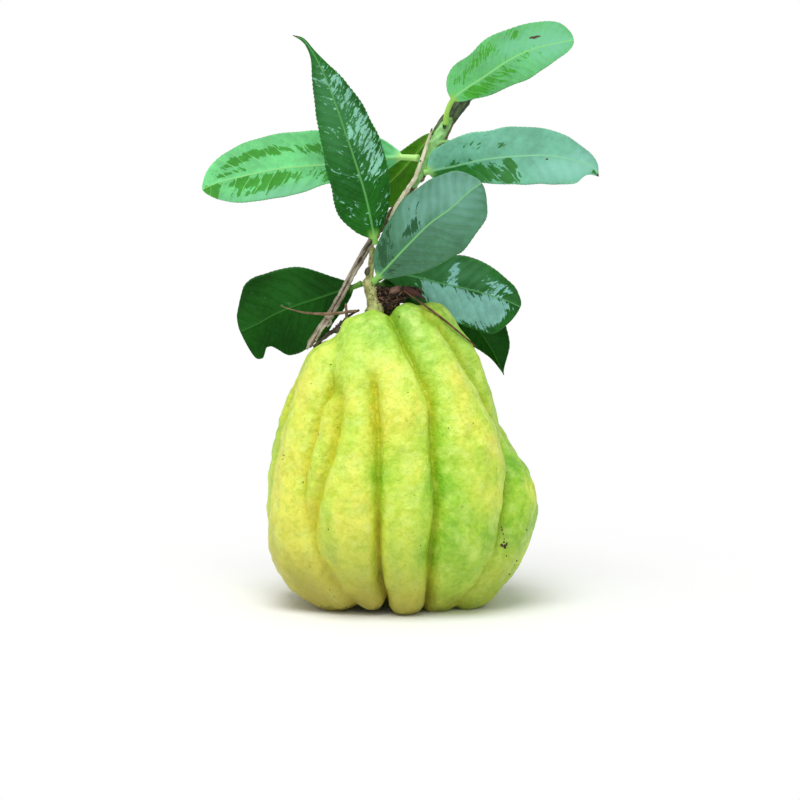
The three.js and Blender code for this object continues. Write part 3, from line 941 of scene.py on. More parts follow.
GROWN_FINGERS = {
    "core": Finger(0.0, 0.0, 0.0, (
        (-6, 0, 104, 9, 0.5), (-4, 0, 92, 20, 0.5), (-3, 0, 75, 30, 0.5), (-1, 0, 50, 40, 0.5),
        (-1, 0, 34, 33, 0.5), (0, 0, 24, 22, 0.5))),
    "middle_tip": Finger(2.0, 0.0, 100.0, (
        (4, 0, 30, 16, 0.5), (2, -6, 18, 12, 0.5), (3, -7, 8.6, 9.2, 0.5))),
    "right_back": Finger(2.0, 1.4, 100.0, (
        (14, 12, 106, 9, 0.3), (19, 12, 92, 13.2, 0.4), (23, 13, 74, 14, 0.3),
        (34.5, 10, 46, 18, 0.4), (31.5, 12, 28, 17.5, 0.4), (20, 8, 11, 11.8, 0.4))),
    "back_right": Finger(1.5, 2.0, 100.0, (
        (4, 9, 109, 9, 0.4), (10, 20, 92, 14, 0.5), (15, 28, 70, 17, 0.5),
        (18, 31, 48, 18.5, 0.5), (16, 28, 27, 17, 0.5), (11, 18, 10.5, 11.3, 0.5))),
    "back": Finger(1.5, 2.0, 100.0, (
        (-8, 8, 109, 9, 0.4), (-6, 21, 92, 13, 0.6), (-5, 31, 70, 15, 0.6),
        (-5, 35, 48, 16.5, 0.7), (-5, 31, 27, 15.5, 0.6), (-3, 20, 9.8, 10.5, 0.6))),
    "back_left": Finger(1.5, 2.0, 100.0, (
        (-18, 10, 101, 10, 0.5), (-21, 18, 86, 14, 0.7), (-25, 25, 66, 17, 0.8),
        (-26, 27, 46, 18.5, 0.8), (-24, 24, 27, 17, 0.8), (-16, 14, 11, 11.5, 0.7))),
    "left_back": Finger(1.5, 1.8, 100.0, (
        (-29, 3, 94, 12.4, 0.55), (-33.6, 3, 76, 15.2, 0.45), (-37, 3, 56, 17.4, 0.5),
        (-37.4, 3, 39, 18.4, 0.7), (-35, 3, 22, 18.2, 0.85), (-26, 0, 11, 11.6, 0.8))),
    "left": Finger(3.5, 1.0, 100.0, (
        (-26, -5, 95, 13.8, 0.75), (-29.8, -9, 80, 15.8, 0.9), (-31.8, -13, 60, 19, 0.9),
        (-33.4, -14, 38, 20.8, 0.97), (-33, -15, 24, 20.5, 0.97),
        (-25.6, -22.6, 12.4, 13.3, 0.97))),
    "short": Finger(2.5, 1.5, 98.0, (
        (-19, -18, 92, 9, 0.65), (-25, -26, 77, 8.5, 0.85), (-29, -30, 65, 8.2, 0.8),
        (-31, -32.5, 50, 8.2, 0.75), (-28.6, -32, 38, 8.2, 0.75)), 1.0, 0.5, 62.0),
    "front_left": Finger(2.5, 2.0, 100.0, (
        (-14.5, -5, 107.4, 12.5, 0.2), (-14.8, -15, 97, 13, 0.5), (-15.4, -24.5, 82, 12.8, 0.62),
        (-16.6, -31, 65, 13.2, 0.62), (-19.6, -34.5, 45, 15.8, 0.7), (-18.6, -32, 29, 15.4, 0.72),
        (-15.6, -31, 17.4, 10.8, 0.85), (-12.2, -29, 10.2, 9, 1.0)), 0.6, 0.45, 44.0),
    "front": Finger(1.4, 2.6, 102.0, (
        (-9.4, -6, 108.4, 12, 0.2), (-5.8, -16, 97, 13.1, 0.62), (-0.8, -26.5, 82, 14.1, 0.68),
        (0.9, -32.5, 62, 14.8, 0.62), (1.4, -36.3, 44, 15.2, 0.6), (0.9, -34.6, 27, 13.9, 0.62),
        (1.7, -29.8, 9.2, 9.9, 0.85)), 0.9),
    "front_right": Finger(1.0, 2.6, 126.0, (
        (3.6, -5, 113.2, 10.8, 0.0), (9.6, -12, 100, 13.1, 0.4), (15.8, -17.5, 84, 15.2, 0.62),
        (20.8, -22.2, 64, 20, 0.54), (21.6, -27.6, 45, 19, 0.42), (19.4, -27.3, 28, 17.8, 0.36),
        (14, -22, 10.3, 11.2, 0.6)), 0.6),
    "right": Finger(1.4, 2.0, 132.0, (
        (10.3, -1.5, 112.8, 11.3, 0.2), (19, -2.5, 98.8, 12.4, 0.3), (22.8, -3, 88, 12.8, 0.4),
        (25, -3, 77, 13.4, 0.3), (28.6, -5, 62, 14.9, 0.25), (36.4, -9, 43.8, 18.4, 0.32),
        (32, -13.5, 29, 19.4, 0.36), (27.2, -14.5, 12.8, 14.2, 0.5)), 0.45, 0.6, 42.0),
}


@dataclass(frozen=True)
class Area:
    """A round area of the skin, for a tint or a dent: its middle, its reach and its shift.

    A tint shifts the ripeness, - greener and + yellower, and a dent shifts the skin inwards.
    """

    place: Point
    reach: float
    shift: float

    def strength(self, points: Array) -> Array:
        """Its shift times exp(-(distance / reach)^2) at each point."""
        return self.shift * np.exp(-np.sum((points - self.place) ** 2, 1) / self.reach ** 2)


# Patches where the rind is greener or yellower. The first three, greener along the left edge, are
# painted shade.
GROWN_TINTS = (
    Area((-46, -14, 78), 7, -0.35), Area((-50, -12, 62), 7, -0.35), Area((-53, -12, 50), 7, -0.25),
    Area((-43, -28, 60), 7, 0.25), Area((-43, -30, 42), 8, 0.2), Area((-38, -16, 90), 7, 0.2),
    Area((-12, -43, 58), 5, -0.3), Area((-12, -36, 84), 8, 0.3), Area((-20, -44, 62), 5, 0.35),
    Area((11, -46, 56), 6, -0.25), Area((12, -43, 40), 9, -0.15), Area((2, -40, 84), 9, 0.3),
    Area((-8, -28, 98), 7, 0.3), Area((-11, -20, 110), 7, -0.25), Area((24, -24, 96), 8, 0.25),
    Area((27, -35, 78), 8, 0.4), Area((14, -38, 70), 8, -0.35), Area((37, -32, 68), 6, 0.45),
    Area((35, -38, 47), 8, 0.3), Area((13, -44, 52), 7, -0.15), Area((53, -14, 47), 6, 0.45),
    Area((30, -4, 98), 7, 0.3), Area((40, -26, 18), 8, 0.2), Area((-19, -46, 40), 9, 0.25),
    Area((10, -44, 26), 6, -0.2), Area((20, -45, 32), 8, -0.1), Area((4, -17, 112), 8, -0.2),
    Area((4, -48, 60), 6, 0.25), Area((44, -22, 60), 5, -0.3),
)

GROWN_DENTS = (
    Area((-27, -38, 20), 6.0, 2.0), Area((-22, -41, 17), 4.0, 1.2), Area((-24, -34, 10), 5.0, -1.2),
    Area((30, -36, 74), 5.0, 1.0), Area((37, -36, 60), 5.0, 0.8), Area((20, -42, 62), 6.0, 0.8),
    Area((28, -44, 38), 6.0, 0.8), Area((-22, -38, 76), 5.0, 0.9), Area((42, -28, 40), 6.0, 0.9),
    Area((-40, -26, 72), 5.0, 0.7), Area((16, -24, 92), 5.0, 0.8), Area((27, -12, 95), 4.0, 0.9),
)


@dataclass(frozen=True)
class Lump:
    """One layer of the rind's unevenness: its height, its cell sizes and where it is read."""

    height: float
    cell: Point
    offset: float


RIND_LUMPS = (Lump(0.8, (11.0, 11.0, 14.0), 0.0), Lump(0.62, (5.2, 5.2, 6.4), 90.0),
              Lump(0.24, (2.4, 2.4, 2.4), 180.0))


@dataclass
class Fruit:
    """The citron: fingers melted together, closed and standing on their tips.

    Straight lines walk inwards from outside, measured from the heart, or from front_outside in
    front of the axis. neck_melt softens every join near the stalk, soft_blend those of the
    soft creases, and groove_width is the width of a groove. The reaches and crease_fade say
    how far the marks go, and faintest is their least share.
    """

    heart: Point = (-2.0, 0.0, 52.0)
    stalk_foot: Point = (-11.0, 0.0, 120.0)
    columns: int = 416
    rows: int = 228
    coarse: int = 4
    outside: float = 92.0
    front_outside: float = 70.0
    settling: int = 4
    coarse_rounds: int = 44
    fine_rounds: int = 13
    front_rounds: int = 60
    stride: float = 0.75
    neck_melt: float = 2.2
    neck_from: float = 102.0
    neck_span: float = 14.0
    groove_width: float = 2.3
    soft_blend: float = 4.5
    ripe_reach: float = 2.0
    crease_reach: float = 1.8
    valley_reach: float = 3.0
    crease_fade: tuple[float, float] = (34.0, 58.0)
    faintest: float = 0.35
    lump_inset: float = 0.4
    least_front: float = 4.0
    scar: Area = Area((-18.2, -40.6, 16.6), 1.5, 1.0)
    fingers: dict[str, Finger] = field(default_factory=lambda: GROWN_FINGERS)
    tints: tuple[Area, ...] = GROWN_TINTS
    dents: tuple[Area, ...] = GROWN_DENTS
    finish: RindFinish = RindFinish()

    def skin(self, distances: list[Array], height: Array) -> Array:
        """Distance to the skin: fingers joined one by one with a smooth minimum and a groove.

        The smooth minimum of f and d with width k is f(1-h) + dh - kh(1-h), where h is
        0.5 + (f-d)/2k clamped. The groove adds g exp(-((f-d)/w)^2), which cuts inwards.

        Args:
            distances: Distance to each finger, in order.
            height: Height of each point.

        Returns:
            Distances, positive outside.
        """
        melt = self.neck_melt * smoothstep(height, self.neck_from, self.neck_from + self.neck_span)
        joined = distances[0]
        for finger, distance in zip(list(self.fingers.values())[1:], distances[1:]):
            width = finger.blend + melt + self.soft_blend * finger.softened(height)
            difference = joined - distance
            share = np.clip(0.5 + 0.5 * difference / width, 0.0, 1.0)
            cut = finger.groove * finger.grooved(height)
            cut = cut * np.exp(-(difference / self.groove_width) ** 2)
            joined = joined * (1 - share) + distance * share - width * share * (1 - share) + cut
        return joined

    def reach(self, start: Array, heading: Array, run: Array,
              rounds: int) -> tuple[Array, list[Array]]:
        """Walk straight lines inwards until they meet the skin.

        Args:
            start: Where the lines start, shape (3,) or (n, 3).
            heading: Unit directions that point outwards, shape (n, 3).
            run: First guesses of how far out the skin is.
            rounds: Number of steps, each the stride's share of the distance to the skin.

        Returns:
            Distance along each line, and the closest knot number on each finger.
        """
        points = start + heading * run[:, None]
        fingers = list(self.fingers.values())
        knots = [finger.first_guess(points[:, 2]) for finger in fingers]
        for _ in range(self.settling):
            knots = [finger.step(points, knot)[2] for finger, knot in zip(fingers, knots)]
        for _ in range(rounds):
            parts = [finger.step(points, knot) for finger, knot in zip(fingers, knots)]
            knots = [part[2] for part in parts]
            gap = self.skin([part[0] for part in parts], points[:, 2])
            run = np.maximum(run - self.stride * gap, 0.0)
            points = start + heading * run[:, None]
        return run, knots

    def directions(self, columns: int, rows: int) -> Array:
        """Unit directions on a globe whose pole points at the stalk.

        Args:
            columns: Directions around.
            rows: Steps from pole to pole.

        Returns:
            Directions, shape (rows + 1, columns, 3).
        """
        pole = np.subtract(self.stalk_foot, self.heart)
        pole /= np.linalg.norm(pole)
        side = np.array([1.0, 0.0, 0.0]) - pole * pole[0]
        side /= np.linalg.norm(side)
        front = np.cross(pole, side)
        polar, turn = np.meshgrid(np.linspace(0, np.pi, rows + 1),
                                  np.linspace(0, 2 * np.pi, columns, endpoint=False), indexing="ij")
        flat = np.cos(turn)[..., None] * side + np.sin(turn)[..., None] * front
        return np.sin(polar)[..., None] * flat + np.cos(polar)[..., None] * pole

    def first_distances(self) -> Array:
        """Solve a coarse globe, take the largest neighbour, and enlarge it to the full grid.

        Returns:
            A distance for every direction of the full grid, at or a little outside the skin.
        """
        coarse = self.directions(self.columns // self.coarse, self.rows // self.coarse)
        shape = coarse.shape[:2]
        run, _ = self.reach(np.array(self.heart), coarse.reshape(-1, 3),
                            np.full(shape[0] * shape[1], self.outside), self.coarse_rounds)
        wrapped = np.pad(run.reshape(shape), ((0, 0), (1, 1)), mode="wrap")
        wrapped = np.pad(wrapped, ((1, 1), (0, 0)), mode="edge")
        largest = np.max([wrapped[i:i + shape[0], j:j + shape[1]] for i in range(3)
                          for j in range(3)], axis=0)
        # The last row is read just short of its end, so that there is a row below it.
        row = np.minimum(np.arange(self.rows + 1) / self.coarse, shape[0] - 1.001)
        column = np.arange(self.columns) / self.coarse
        down, across = (row % 1)[:, None], (column % 1)[None]
        top, left = row.astype(int), column.astype(int)
        right = (left + 1) % shape[1]
        upper = largest[top][:, left] * (1 - across) + largest[top][:, right] * across
        lower = largest[top + 1][:, left] * (1 - across) + largest[top + 1][:, right] * across
        return (upper * (1 - down) + lower * down).ravel()

    def uneven(self, points: Array) -> Array:
        """How far the rind stands out of the melted fingers.

        Three layers of noise are added up, and a small inset and the dents are taken off.

        Args:
            points: Places on the melted fingers, shape (n, 3).

        Returns:
            Distances outwards in mm, shape (n,).
        """
        lumps = sum(lump.height * NOISE.at(points + lump.offset, lump.cell) for lump in RIND_LUMPS)
        return lumps - self.lump_inset - sum(dent.strength(points) for dent in self.dents)

    def front(self, places: Array) -> Array:
        """Points of the skin seen straight from the front, or just before the axis beside it.

        Args:
            places: x and z of each, shape (n, 2).

        Returns:
            Points on the skin, shape (n, 3).
        """
        start = np.stack([places[:, 0], np.zeros(len(places)), places[:, 1]], axis=1)
        heading = np.tile([0.0, -1.0, 0.0], (len(places), 1))
        run, _ = self.reach(start, heading, np.full(len(places), self.front_outside),
                            self.front_rounds)
        points = start + heading * np.maximum(run, self.least_front)[:, None]
        return points + heading * self.uneven(points)[:, None]

    def marks(self, points: Array, knots: list[Array]) -> dict[str, Array]:
        """What the finish reads at each point of the melted fingers.

        Ripeness is the fingers' own, averaged with weights exp(-gap/2), plus the tints. The
        crease mark is the line of the later of the two nearest fingers, fainter higher up,
        times exp(-gap/1.8), with the gap between the two, and the mark of painted shade in the
        valleys goes with exp(-gap/3). Both fade where the groove does.

        Args:
            points: Places, shape (n, 3).
            knots: The closest knot number on each finger.

        Returns:
            The marks by name, each of shape (n,).
        """
        fingers = list(self.fingers.values())
        parts = [finger.step(points, knot) for finger, knot in zip(fingers, knots)][1:]
        distance = np.stack([part[0] for part in parts], axis=1)
        nearest = np.argsort(distance, axis=1)[:, :2]
        closest, second = np.take_along_axis(distance, nearest, axis=1).T
        weight = np.exp((closest[:, None] - distance) / self.ripe_reach)
        ripe = (weight * np.stack([part[1] for part in parts], axis=1)).sum(1) / weight.sum(1)
        for tint in self.tints:
            ripe += tint.strength(points)
        later = nearest.max(axis=1)
        height = points[:, 2]
        left = np.stack([finger.grooved(height) for finger in fingers[1:]], axis=1)
        left = np.take_along_axis(left, later[:, None], axis=1)[:, 0]
        line = np.array([finger.line for finger in fingers[1:]])[later]
        clear = 1.0 - smoothstep(height, *self.crease_fade)
        line = line * (self.faintest + (1.0 - self.faintest) * clear)
        return {"ripeness": ripe,
                "crease": line * left * np.exp((closest - second) / self.crease_reach),
                "valley_shade": ((self.faintest + (1.0 - self.faintest) * left)
                           * np.exp((closest - second) / self.valley_reach)),
                "scar": self.scar.strength(points)}

    def build(self) -> None:
        """Make the fruit's closed mesh with its marks, and settle it.

        Every point lies on a ray from the heart, at the distance where the ray leaves the
        skin. Points below the resting plane are lifted onto it, which leaves the small flat
        spots under the tips.
        """
        heading = self.directions(self.columns, self.rows).reshape(-1, 3)
        run, knots = self.reach(np.array(self.heart), heading, self.first_distances(),
                                self.fine_rounds)
        points = np.array(self.heart) + heading * run[:, None]
        marks = self.marks(points, knots)
        points += heading * self.uneven(points)[:, None]
        points[:, 2] = np.maximum(points[:, 2], 0.0)
        keep = slice(self.columns - 1, len(points) - self.columns + 1)
        caps, quads = tube_faces(self.rows - 1, self.columns)
        piece = make_piece("citron", points[keep], (caps[:, ::-1], quads[:, ::-1]),
                           {label: mark[keep] for label, mark in marks.items()})
        settle(piece, self.finish.dress(), "skin", "fruit")


# ---------------------------------------------------------------- leaves

class Side(Enum):
    """Which face of a leaf looks to the front."""

    UPPER = 1
    UNDER = -1


@dataclass(frozen=True)
class Spot:
    """An area of a blade: middle along (0 to 1) and across (-1 to 1), reaches, and strength."""

    along: float
    across: float
    reach_along: float
    reach_across: float
    strength: float = 0.4


@dataclass(frozen=True)
class Bite:
    """A notch in the first edge: its place along the blade, its width and its depth."""

    at: float
    width: float
    depth: float


@dataclass
class Leaf:
    """One citron leaf: a round stalk that opens into a thin blade with ribs on its underside.

    midrib runs from the twig to the tip, and the first stalk millimetres of it are stalk. Half
    widths of both edges are given at every eighth of the blade, and each half tips in y by its
    slope. tip_end and base_end are the shares of the blade over which it closes. teeth and
    edge_wander shape the edge, and quilt, the dips and the puckers shape the face.
    """

    name: str
    slot: str
    finish: LeafFinish
    midrib: tuple[Point, ...]
    stalk: float
    width_a: tuple[float, ...]
    width_b: tuple[float, ...]
    slopes: tuple[float, float]
    tip_end: float
    base_end: float
    sharp: float
    wave: float
    facing: Side = Side.UPPER
    bite: Bite | None = None
    patch_base: float = -0.25
    patches: tuple[Spot, ...] = ()
    # Where the painted sheen, a painted reflection, shows on the blade.
    sheens: tuple[Spot, ...] = ()
    scars: tuple[Spot, ...] = ()
    vein_gap: float = 5.0
    quilt: float = 0.2
    teeth: float = 0.14
    stations: int = 190
    across: int = 44
    thickness: float = 0.5
    stalk_radius: float = 1.0
    stalk_swell: float = 0.35
    swell_reach: float = 2.2
    stalk_rings: int = 14
    last_share: float = 0.9985
    opening: float = 0.05
    crowding: float = 1.12
    tooth_rate: float = 1.75
    edge_wander: float = 0.35
    wander_cell: float = 7.0
    vein_dip: float = 0.14
    vein_width: float = 0.07
    rib_dip: float = 0.35
    rib_dip_reach: float = 1.1
    pucker: float = 0.16
    pucker_cell: float = 3.4
    rib_height: float = 0.42
    rib_reach: float = 0.75
    edge_power: int = 14
    sway_rate: float = 14.0
    vein_slant: float = 0.62
    vein_bend: float = 0.018
    vein_stagger: float = 0.45

    def closing(self, share: Array) -> Array:
        """How much of its width the blade has: rounded at the base, rounded or sharp at the tip.

        Args:
            share: Share of the blade.

        Returns:
            Shares of the width, 0 at both ends.
        """
        base = np.clip(share / self.base_end, 0, 1)
        tip = np.clip((1 - share) / self.tip_end, 0, 1)
        return np.sqrt(1 - (1 - base) ** 2) * (1 - (1 - tip) ** 2) ** self.sharp

    def _swelling(self, run: Array) -> Array:
        """How much thicker the stalk is near the twig, exp(-run / 2.2) of its swelling."""
        return self.stalk_swell * np.exp(-run / self.swell_reach)

    def veins(self, run: Array, lateral: Array) -> Array:
        """Count of side veins passed: they leave the midrib at a slant and bend to the tip.

        Args:
            run: Distance from the twig along the midrib, mm.
            lateral: Distance from the midrib, positive on the first side, mm.

        Returns:
            The count; its fraction is 0.5 on a vein.
        """
        far = np.abs(lateral)
        wobble = 0.5 * np.sin(run * 0.55 + 2.0 * np.sign(lateral)) + 0.2 * np.sin(far * 0.8)
        forward = self.vein_slant * far + self.vein_bend * far ** 2
        stagger = np.where(lateral > 0, 0.0, self.vein_stagger)
        return (run - forward + wobble) / self.vein_gap + stagger

    def build(self) -> None:
        """Sweep the cross-section along the midrib and settle the piece.

        A station's points are midrib + across * half width + facing * (half thickness on that
        side + lift of the middle layer).
        """
        route = Route(np.array(self.midrib, float))
        start = self.stalk / route.length
        share = np.concatenate([np.linspace(0, start, self.stalk_rings, endpoint=False),
                                start + (1 - start) * np.linspace(0, 1, self.stations)])
        share = np.minimum(share, self.last_share)
        blade = np.clip((share - start) / (1 - start), 0, 1)
        opened = smoothstep(blade, 0.0, self.opening)[:, None]
        across, face = self._section()
        run = (share * route.length)[:, None]
        lateral = self._lateral(blade, run, across)
        depth = self._depth(across, lateral, opened, self.stalk_radius + self._swelling(run))
        lift = self._lift(blade, run, across, lateral) * opened
        _, aside, facing = route.frames(share)
        points = (route.at(share)[:, None] + aside[:, None] * lateral[..., None]
                  + facing[:, None] * (depth * face + lift)[..., None])
        slope = np.where(across > 0, *self.slopes)
        sway = np.sin(self.sway_rate * blade[:, None] + np.where(across > 0, 0.0, 2.0))
        points[..., 1] += (slope * np.abs(lateral) + self.wave * across ** 2 * sway) * opened
        self._settle(route, points, blade, run, across, face, lateral)

    def _section(self) -> tuple[Array, Array]:
        """Places around a cross-section.

        Returns:
            Share across from 1 to -1 and back, and 1 on the front face, -1 on the back face.
        """
        there = np.linspace(1.0, -1.0, self.across + 1)
        across = np.concatenate([there, there[-2:0:-1]])
        face = np.concatenate([np.ones(self.across + 1), -np.ones(self.across - 1)])
        face[0] = face[self.across] = 0.0
        return np.sign(across) * np.abs(across) ** self.crowding, face

    def _lateral(self, blade: Array, run: Array, across: Array) -> Array:
        """Signed distance from the midrib, with fine blunt teeth on both edges.

        Args:
            blade: Share of the blade at each station.
            run: Distance from the twig, shape (stations, 1).
            across: Share across, shape (around,).

        Returns:
            Distances, shape (stations, around).
        """
        least = self.stalk_radius * (1 - 0.8 * smoothstep(blade, 0.0, 0.5))
        least = least + self._swelling(run[:, 0])
        sides = []
        for edge, table in enumerate((self.width_a, self.width_b)):
            width = table_spline(np.array(table)[:, None], blade * 8.0)[:, 0] * self.closing(blade)
            if self.bite and edge == 0:
                notch = np.abs((blade - self.bite.at) / self.bite.width)
                width = width - self.bite.depth * np.exp(-notch ** 2.4)
            tooth = self.teeth * np.abs(np.sin(run[:, 0] * self.tooth_rate + edge))
            cloud = np.stack([run[:, 0], run[:, 0] * 0, blade * 0 + 9 * edge], axis=1)
            tooth = tooth + self.edge_wander * NOISE.at(cloud, self.wander_cell)
            width = width + (tooth - self.teeth) * smoothstep(width, 2.0, 5.0)
            sides.append(np.maximum(width, least)[:, None])
        return across[None] * np.where(across[None] > 0, sides[0], sides[1])

    def _lift(self, blade: Array, run: Array, across: Array, lateral: Array) -> Array:
        """Height of the blade's middle layer towards the front.

        On the upper side the blade bulges between the side veins, c cos(2 pi phase), dips in a
        narrow line on each vein, and dips over the midrib. The underside is the reverse.

        Args:
            blade: Share of the blade at each station.
            run: Distance from the twig, shape (stations, 1).
            across: Share across, shape (around,).
            lateral: Distance from the midrib, shape (stations, around).

        Returns:
            Heights in mm, shape (stations, around).
        """
        phase = self.veins(run, lateral)
        room = smoothstep(np.abs(lateral), 0.8, 4.0) * smoothstep(1 - np.abs(across), 0.0, 0.25)
        bulge = self.quilt * np.cos(2 * np.pi * phase)
        line = -self.vein_dip * np.exp(-((phase % 1.0 - 0.5) / self.vein_width) ** 2)
        trough = -self.rib_dip * np.exp(-(lateral / self.rib_dip_reach) ** 2)
        trough = trough * smoothstep(1 - blade, 0, 0.5)[:, None]
        cloud = np.stack(np.broadcast_arrays(run, lateral, 0.0 * lateral), axis=-1).reshape(-1, 3)
        puckers = self.pucker * NOISE.at(cloud, self.pucker_cell).reshape(lateral.shape)
        return self.facing.value * ((bulge + line) * room + trough) + puckers * room

    def _depth(self, across: Array, lateral: Array, opened: Array, girth: Array) -> Array:
        """Half thickness: round on the stalk, thin with a round edge and a midrib on the blade.

        Args:
            across: Share across, shape (around,).
            lateral: Distance from the midrib.
            opened: 0 on the stalk and 1 on the blade, shape (stations, 1).
            girth: Radius of the stalk, shape (stations, 1).

        Returns:
            Half thicknesses in mm, shape (stations, around).
        """
        stalk = girth * np.sqrt(np.maximum(1 - across ** 2, 0))
        edge = np.sqrt(np.maximum(1 - np.abs(across) ** self.edge_power, 0))
        rib = self.rib_height * np.exp(-(lateral / self.rib_reach) ** 2)
        thin = self.thickness / 2 * edge + rib
        return stalk * (1 - opened) + thin * opened

    @staticmethod
    def _spread(spots: tuple[Spot, ...], blade: Array, across: Array) -> Array:
        """Sum of soft spots: strength times exp(-(distance in reaches)^2).

        Args:
            spots: The spots.
            blade: Share of the blade at each station.
            across: Share across, shape (around,).

        Returns:
            The sum on the blade's grid, shape (stations, around).
        """
        total = np.zeros((len(blade), len(across)))
        for spot in spots:
            total += spot.strength * np.exp(-((blade[:, None] - spot.along) / spot.reach_along) ** 2
                                            - ((across - spot.across) / spot.reach_across) ** 2)
        return total

    def _settle(self, route: Route, points: Array, blade: Array, run: Array, across: Array,
                face: Array, lateral: Array) -> None:
        """Close the mesh, store the marks that the finish reads, and settle the piece.

        Args:
            route: The midrib.
            points: Places, shape (stations, around, 3).
            blade: Share of the blade at each station.
            run: Distance from the twig, shape (stations, 1).
            across: Share across, shape (around,).
            face: Which face each point is on.
            lateral: Distance from the midrib, shape (stations, around).
        """
        rings, around = lateral.shape
        phase = self.veins(run, lateral)
        on_blade = smoothstep(blade, 0.0, 0.03)[:, None]
        rib = np.abs(lateral) / (0.68 - 0.4 * blade[:, None])
        marks = {"vein": phase, "rib": np.clip(rib, 0, 2) * on_blade,
                 "front": np.broadcast_to((face + 1) / 2, lateral.shape),
                 "patch": self._spread(self.patches, blade, across) + self.patch_base,
                 "sheen": self._spread(self.sheens, blade, across),
                 "stem": ((1 - smoothstep(blade, 0.0, 0.06)[:, None])
                          * (1 - smoothstep(np.abs(lateral), 1.3, 3.0))),
                 "scar": self._spread(self.scars, blade, across)}
        chart = np.stack([phase.ravel(), lateral.ravel() / 5.0], axis=1)
        cloud = np.vstack([route.at(np.zeros(1)), points.reshape(-1, 3), points[-1].mean(0)[None]])
        piece = make_piece(self.name + "_blade", cloud, tube_faces(rings, around), with_ends(marks),
                           np.vstack([chart[:1], chart, chart[-1:]]))
        settle(piece, self.finish.dress(self.name + "_finish"), self.slot, self.name)


MINT_UNDERSIDE = LeafFinish((0.200, 0.780, 0.280), (0.060, 0.410, 0.035), (0.250, 0.740, 0.420),
                            (0.36, 0.86, 0.30), (0.46, 0.80, 0.24), (0.030, 0.180, 0.030),
                            streak=(2.4, 1.4), quilt=0.12)
MINT_TOP = LeafFinish((0.145, 0.600, 0.180), (0.070, 0.470, 0.030), (0.250, 0.740, 0.470),
                      (0.32, 0.82, 0.26), (0.34, 0.66, 0.10), (0.030, 0.180, 0.030),
                      streak=(2.6, 1.5), quilt=0.12)
PALE_BLADE = LeafFinish((0.180, 0.550, 0.360), (0.036, 0.240, 0.040), (0.330, 0.780, 0.630),
                        (0.30, 0.74, 0.40), (0.34, 0.68, 0.18), (0.120, 0.420, 0.150),
                        vein_tint=0.1, streak=(2.6, 1.6), quilt=0.1)
GREY_BLADE = LeafFinish((0.054, 0.190, 0.094), (0.018, 0.100, 0.034), (0.180, 0.420, 0.340),
                        (0.20, 0.56, 0.17), (0.26, 0.58, 0.12), (0.100, 0.340, 0.120),
                        vein_tint=0.1, streak=(2.8, 1.8), quilt=0.12, contrast=0.22, rib_share=0.8)
# The pale patch colour here is a painted reflection in the wet film.
WET_BLADE = LeafFinish((0.012, 0.118, 0.008), (0.260, 0.600, 0.430), (0.055, 0.240, 0.075),
                       (0.13, 0.42, 0.11), (0.26, 0.56, 0.11), (0.090, 0.320, 0.100),
                       face_roughness=0.45, gloss=0.08, vein_tint=0.12, streak=(3.0, 1.7),
                       contrast=0.34, quilt=0.17, rib_share=0.8)
DARK_BLADE = LeafFinish((0.007, 0.062, 0.004), (0.045, 0.170, 0.060), (0.016, 0.110, 0.014),
                        (0.045, 0.20, 0.028), (0.13, 0.30, 0.05), (0.080, 0.280, 0.080),
                        face_roughness=0.42, gloss=0.07, vein_tint=0.10, contrast=0.3,
                        rib_share=0.55, streak=(3.4, 1.8))
# The pale patch colour here is a painted reflection in the wet film.
SLICK_BLADE = LeafFinish((0.014, 0.125, 0.012), (0.250, 0.560, 0.500), (0.060, 0.230, 0.090),
                         (0.11, 0.38, 0.13), (0.13, 0.30, 0.05), (0.090, 0.300, 0.090),
                         face_roughness=0.4, gloss=0.16, vein_tint=0.1, contrast=0.3,
                         quilt=0.2, rib_share=0.8, streak=(2.6, 1.6))
OLIVE_BLADE = LeafFinish((0.065, 0.250, 0.008), (0.110, 0.200, 0.020), (0.120, 0.300, 0.030),
                         (0.20, 0.45, 0.05), (0.20, 0.42, 0.06), (0.060, 0.230, 0.020),
                         gloss=0.15, vein_tint=0.15)

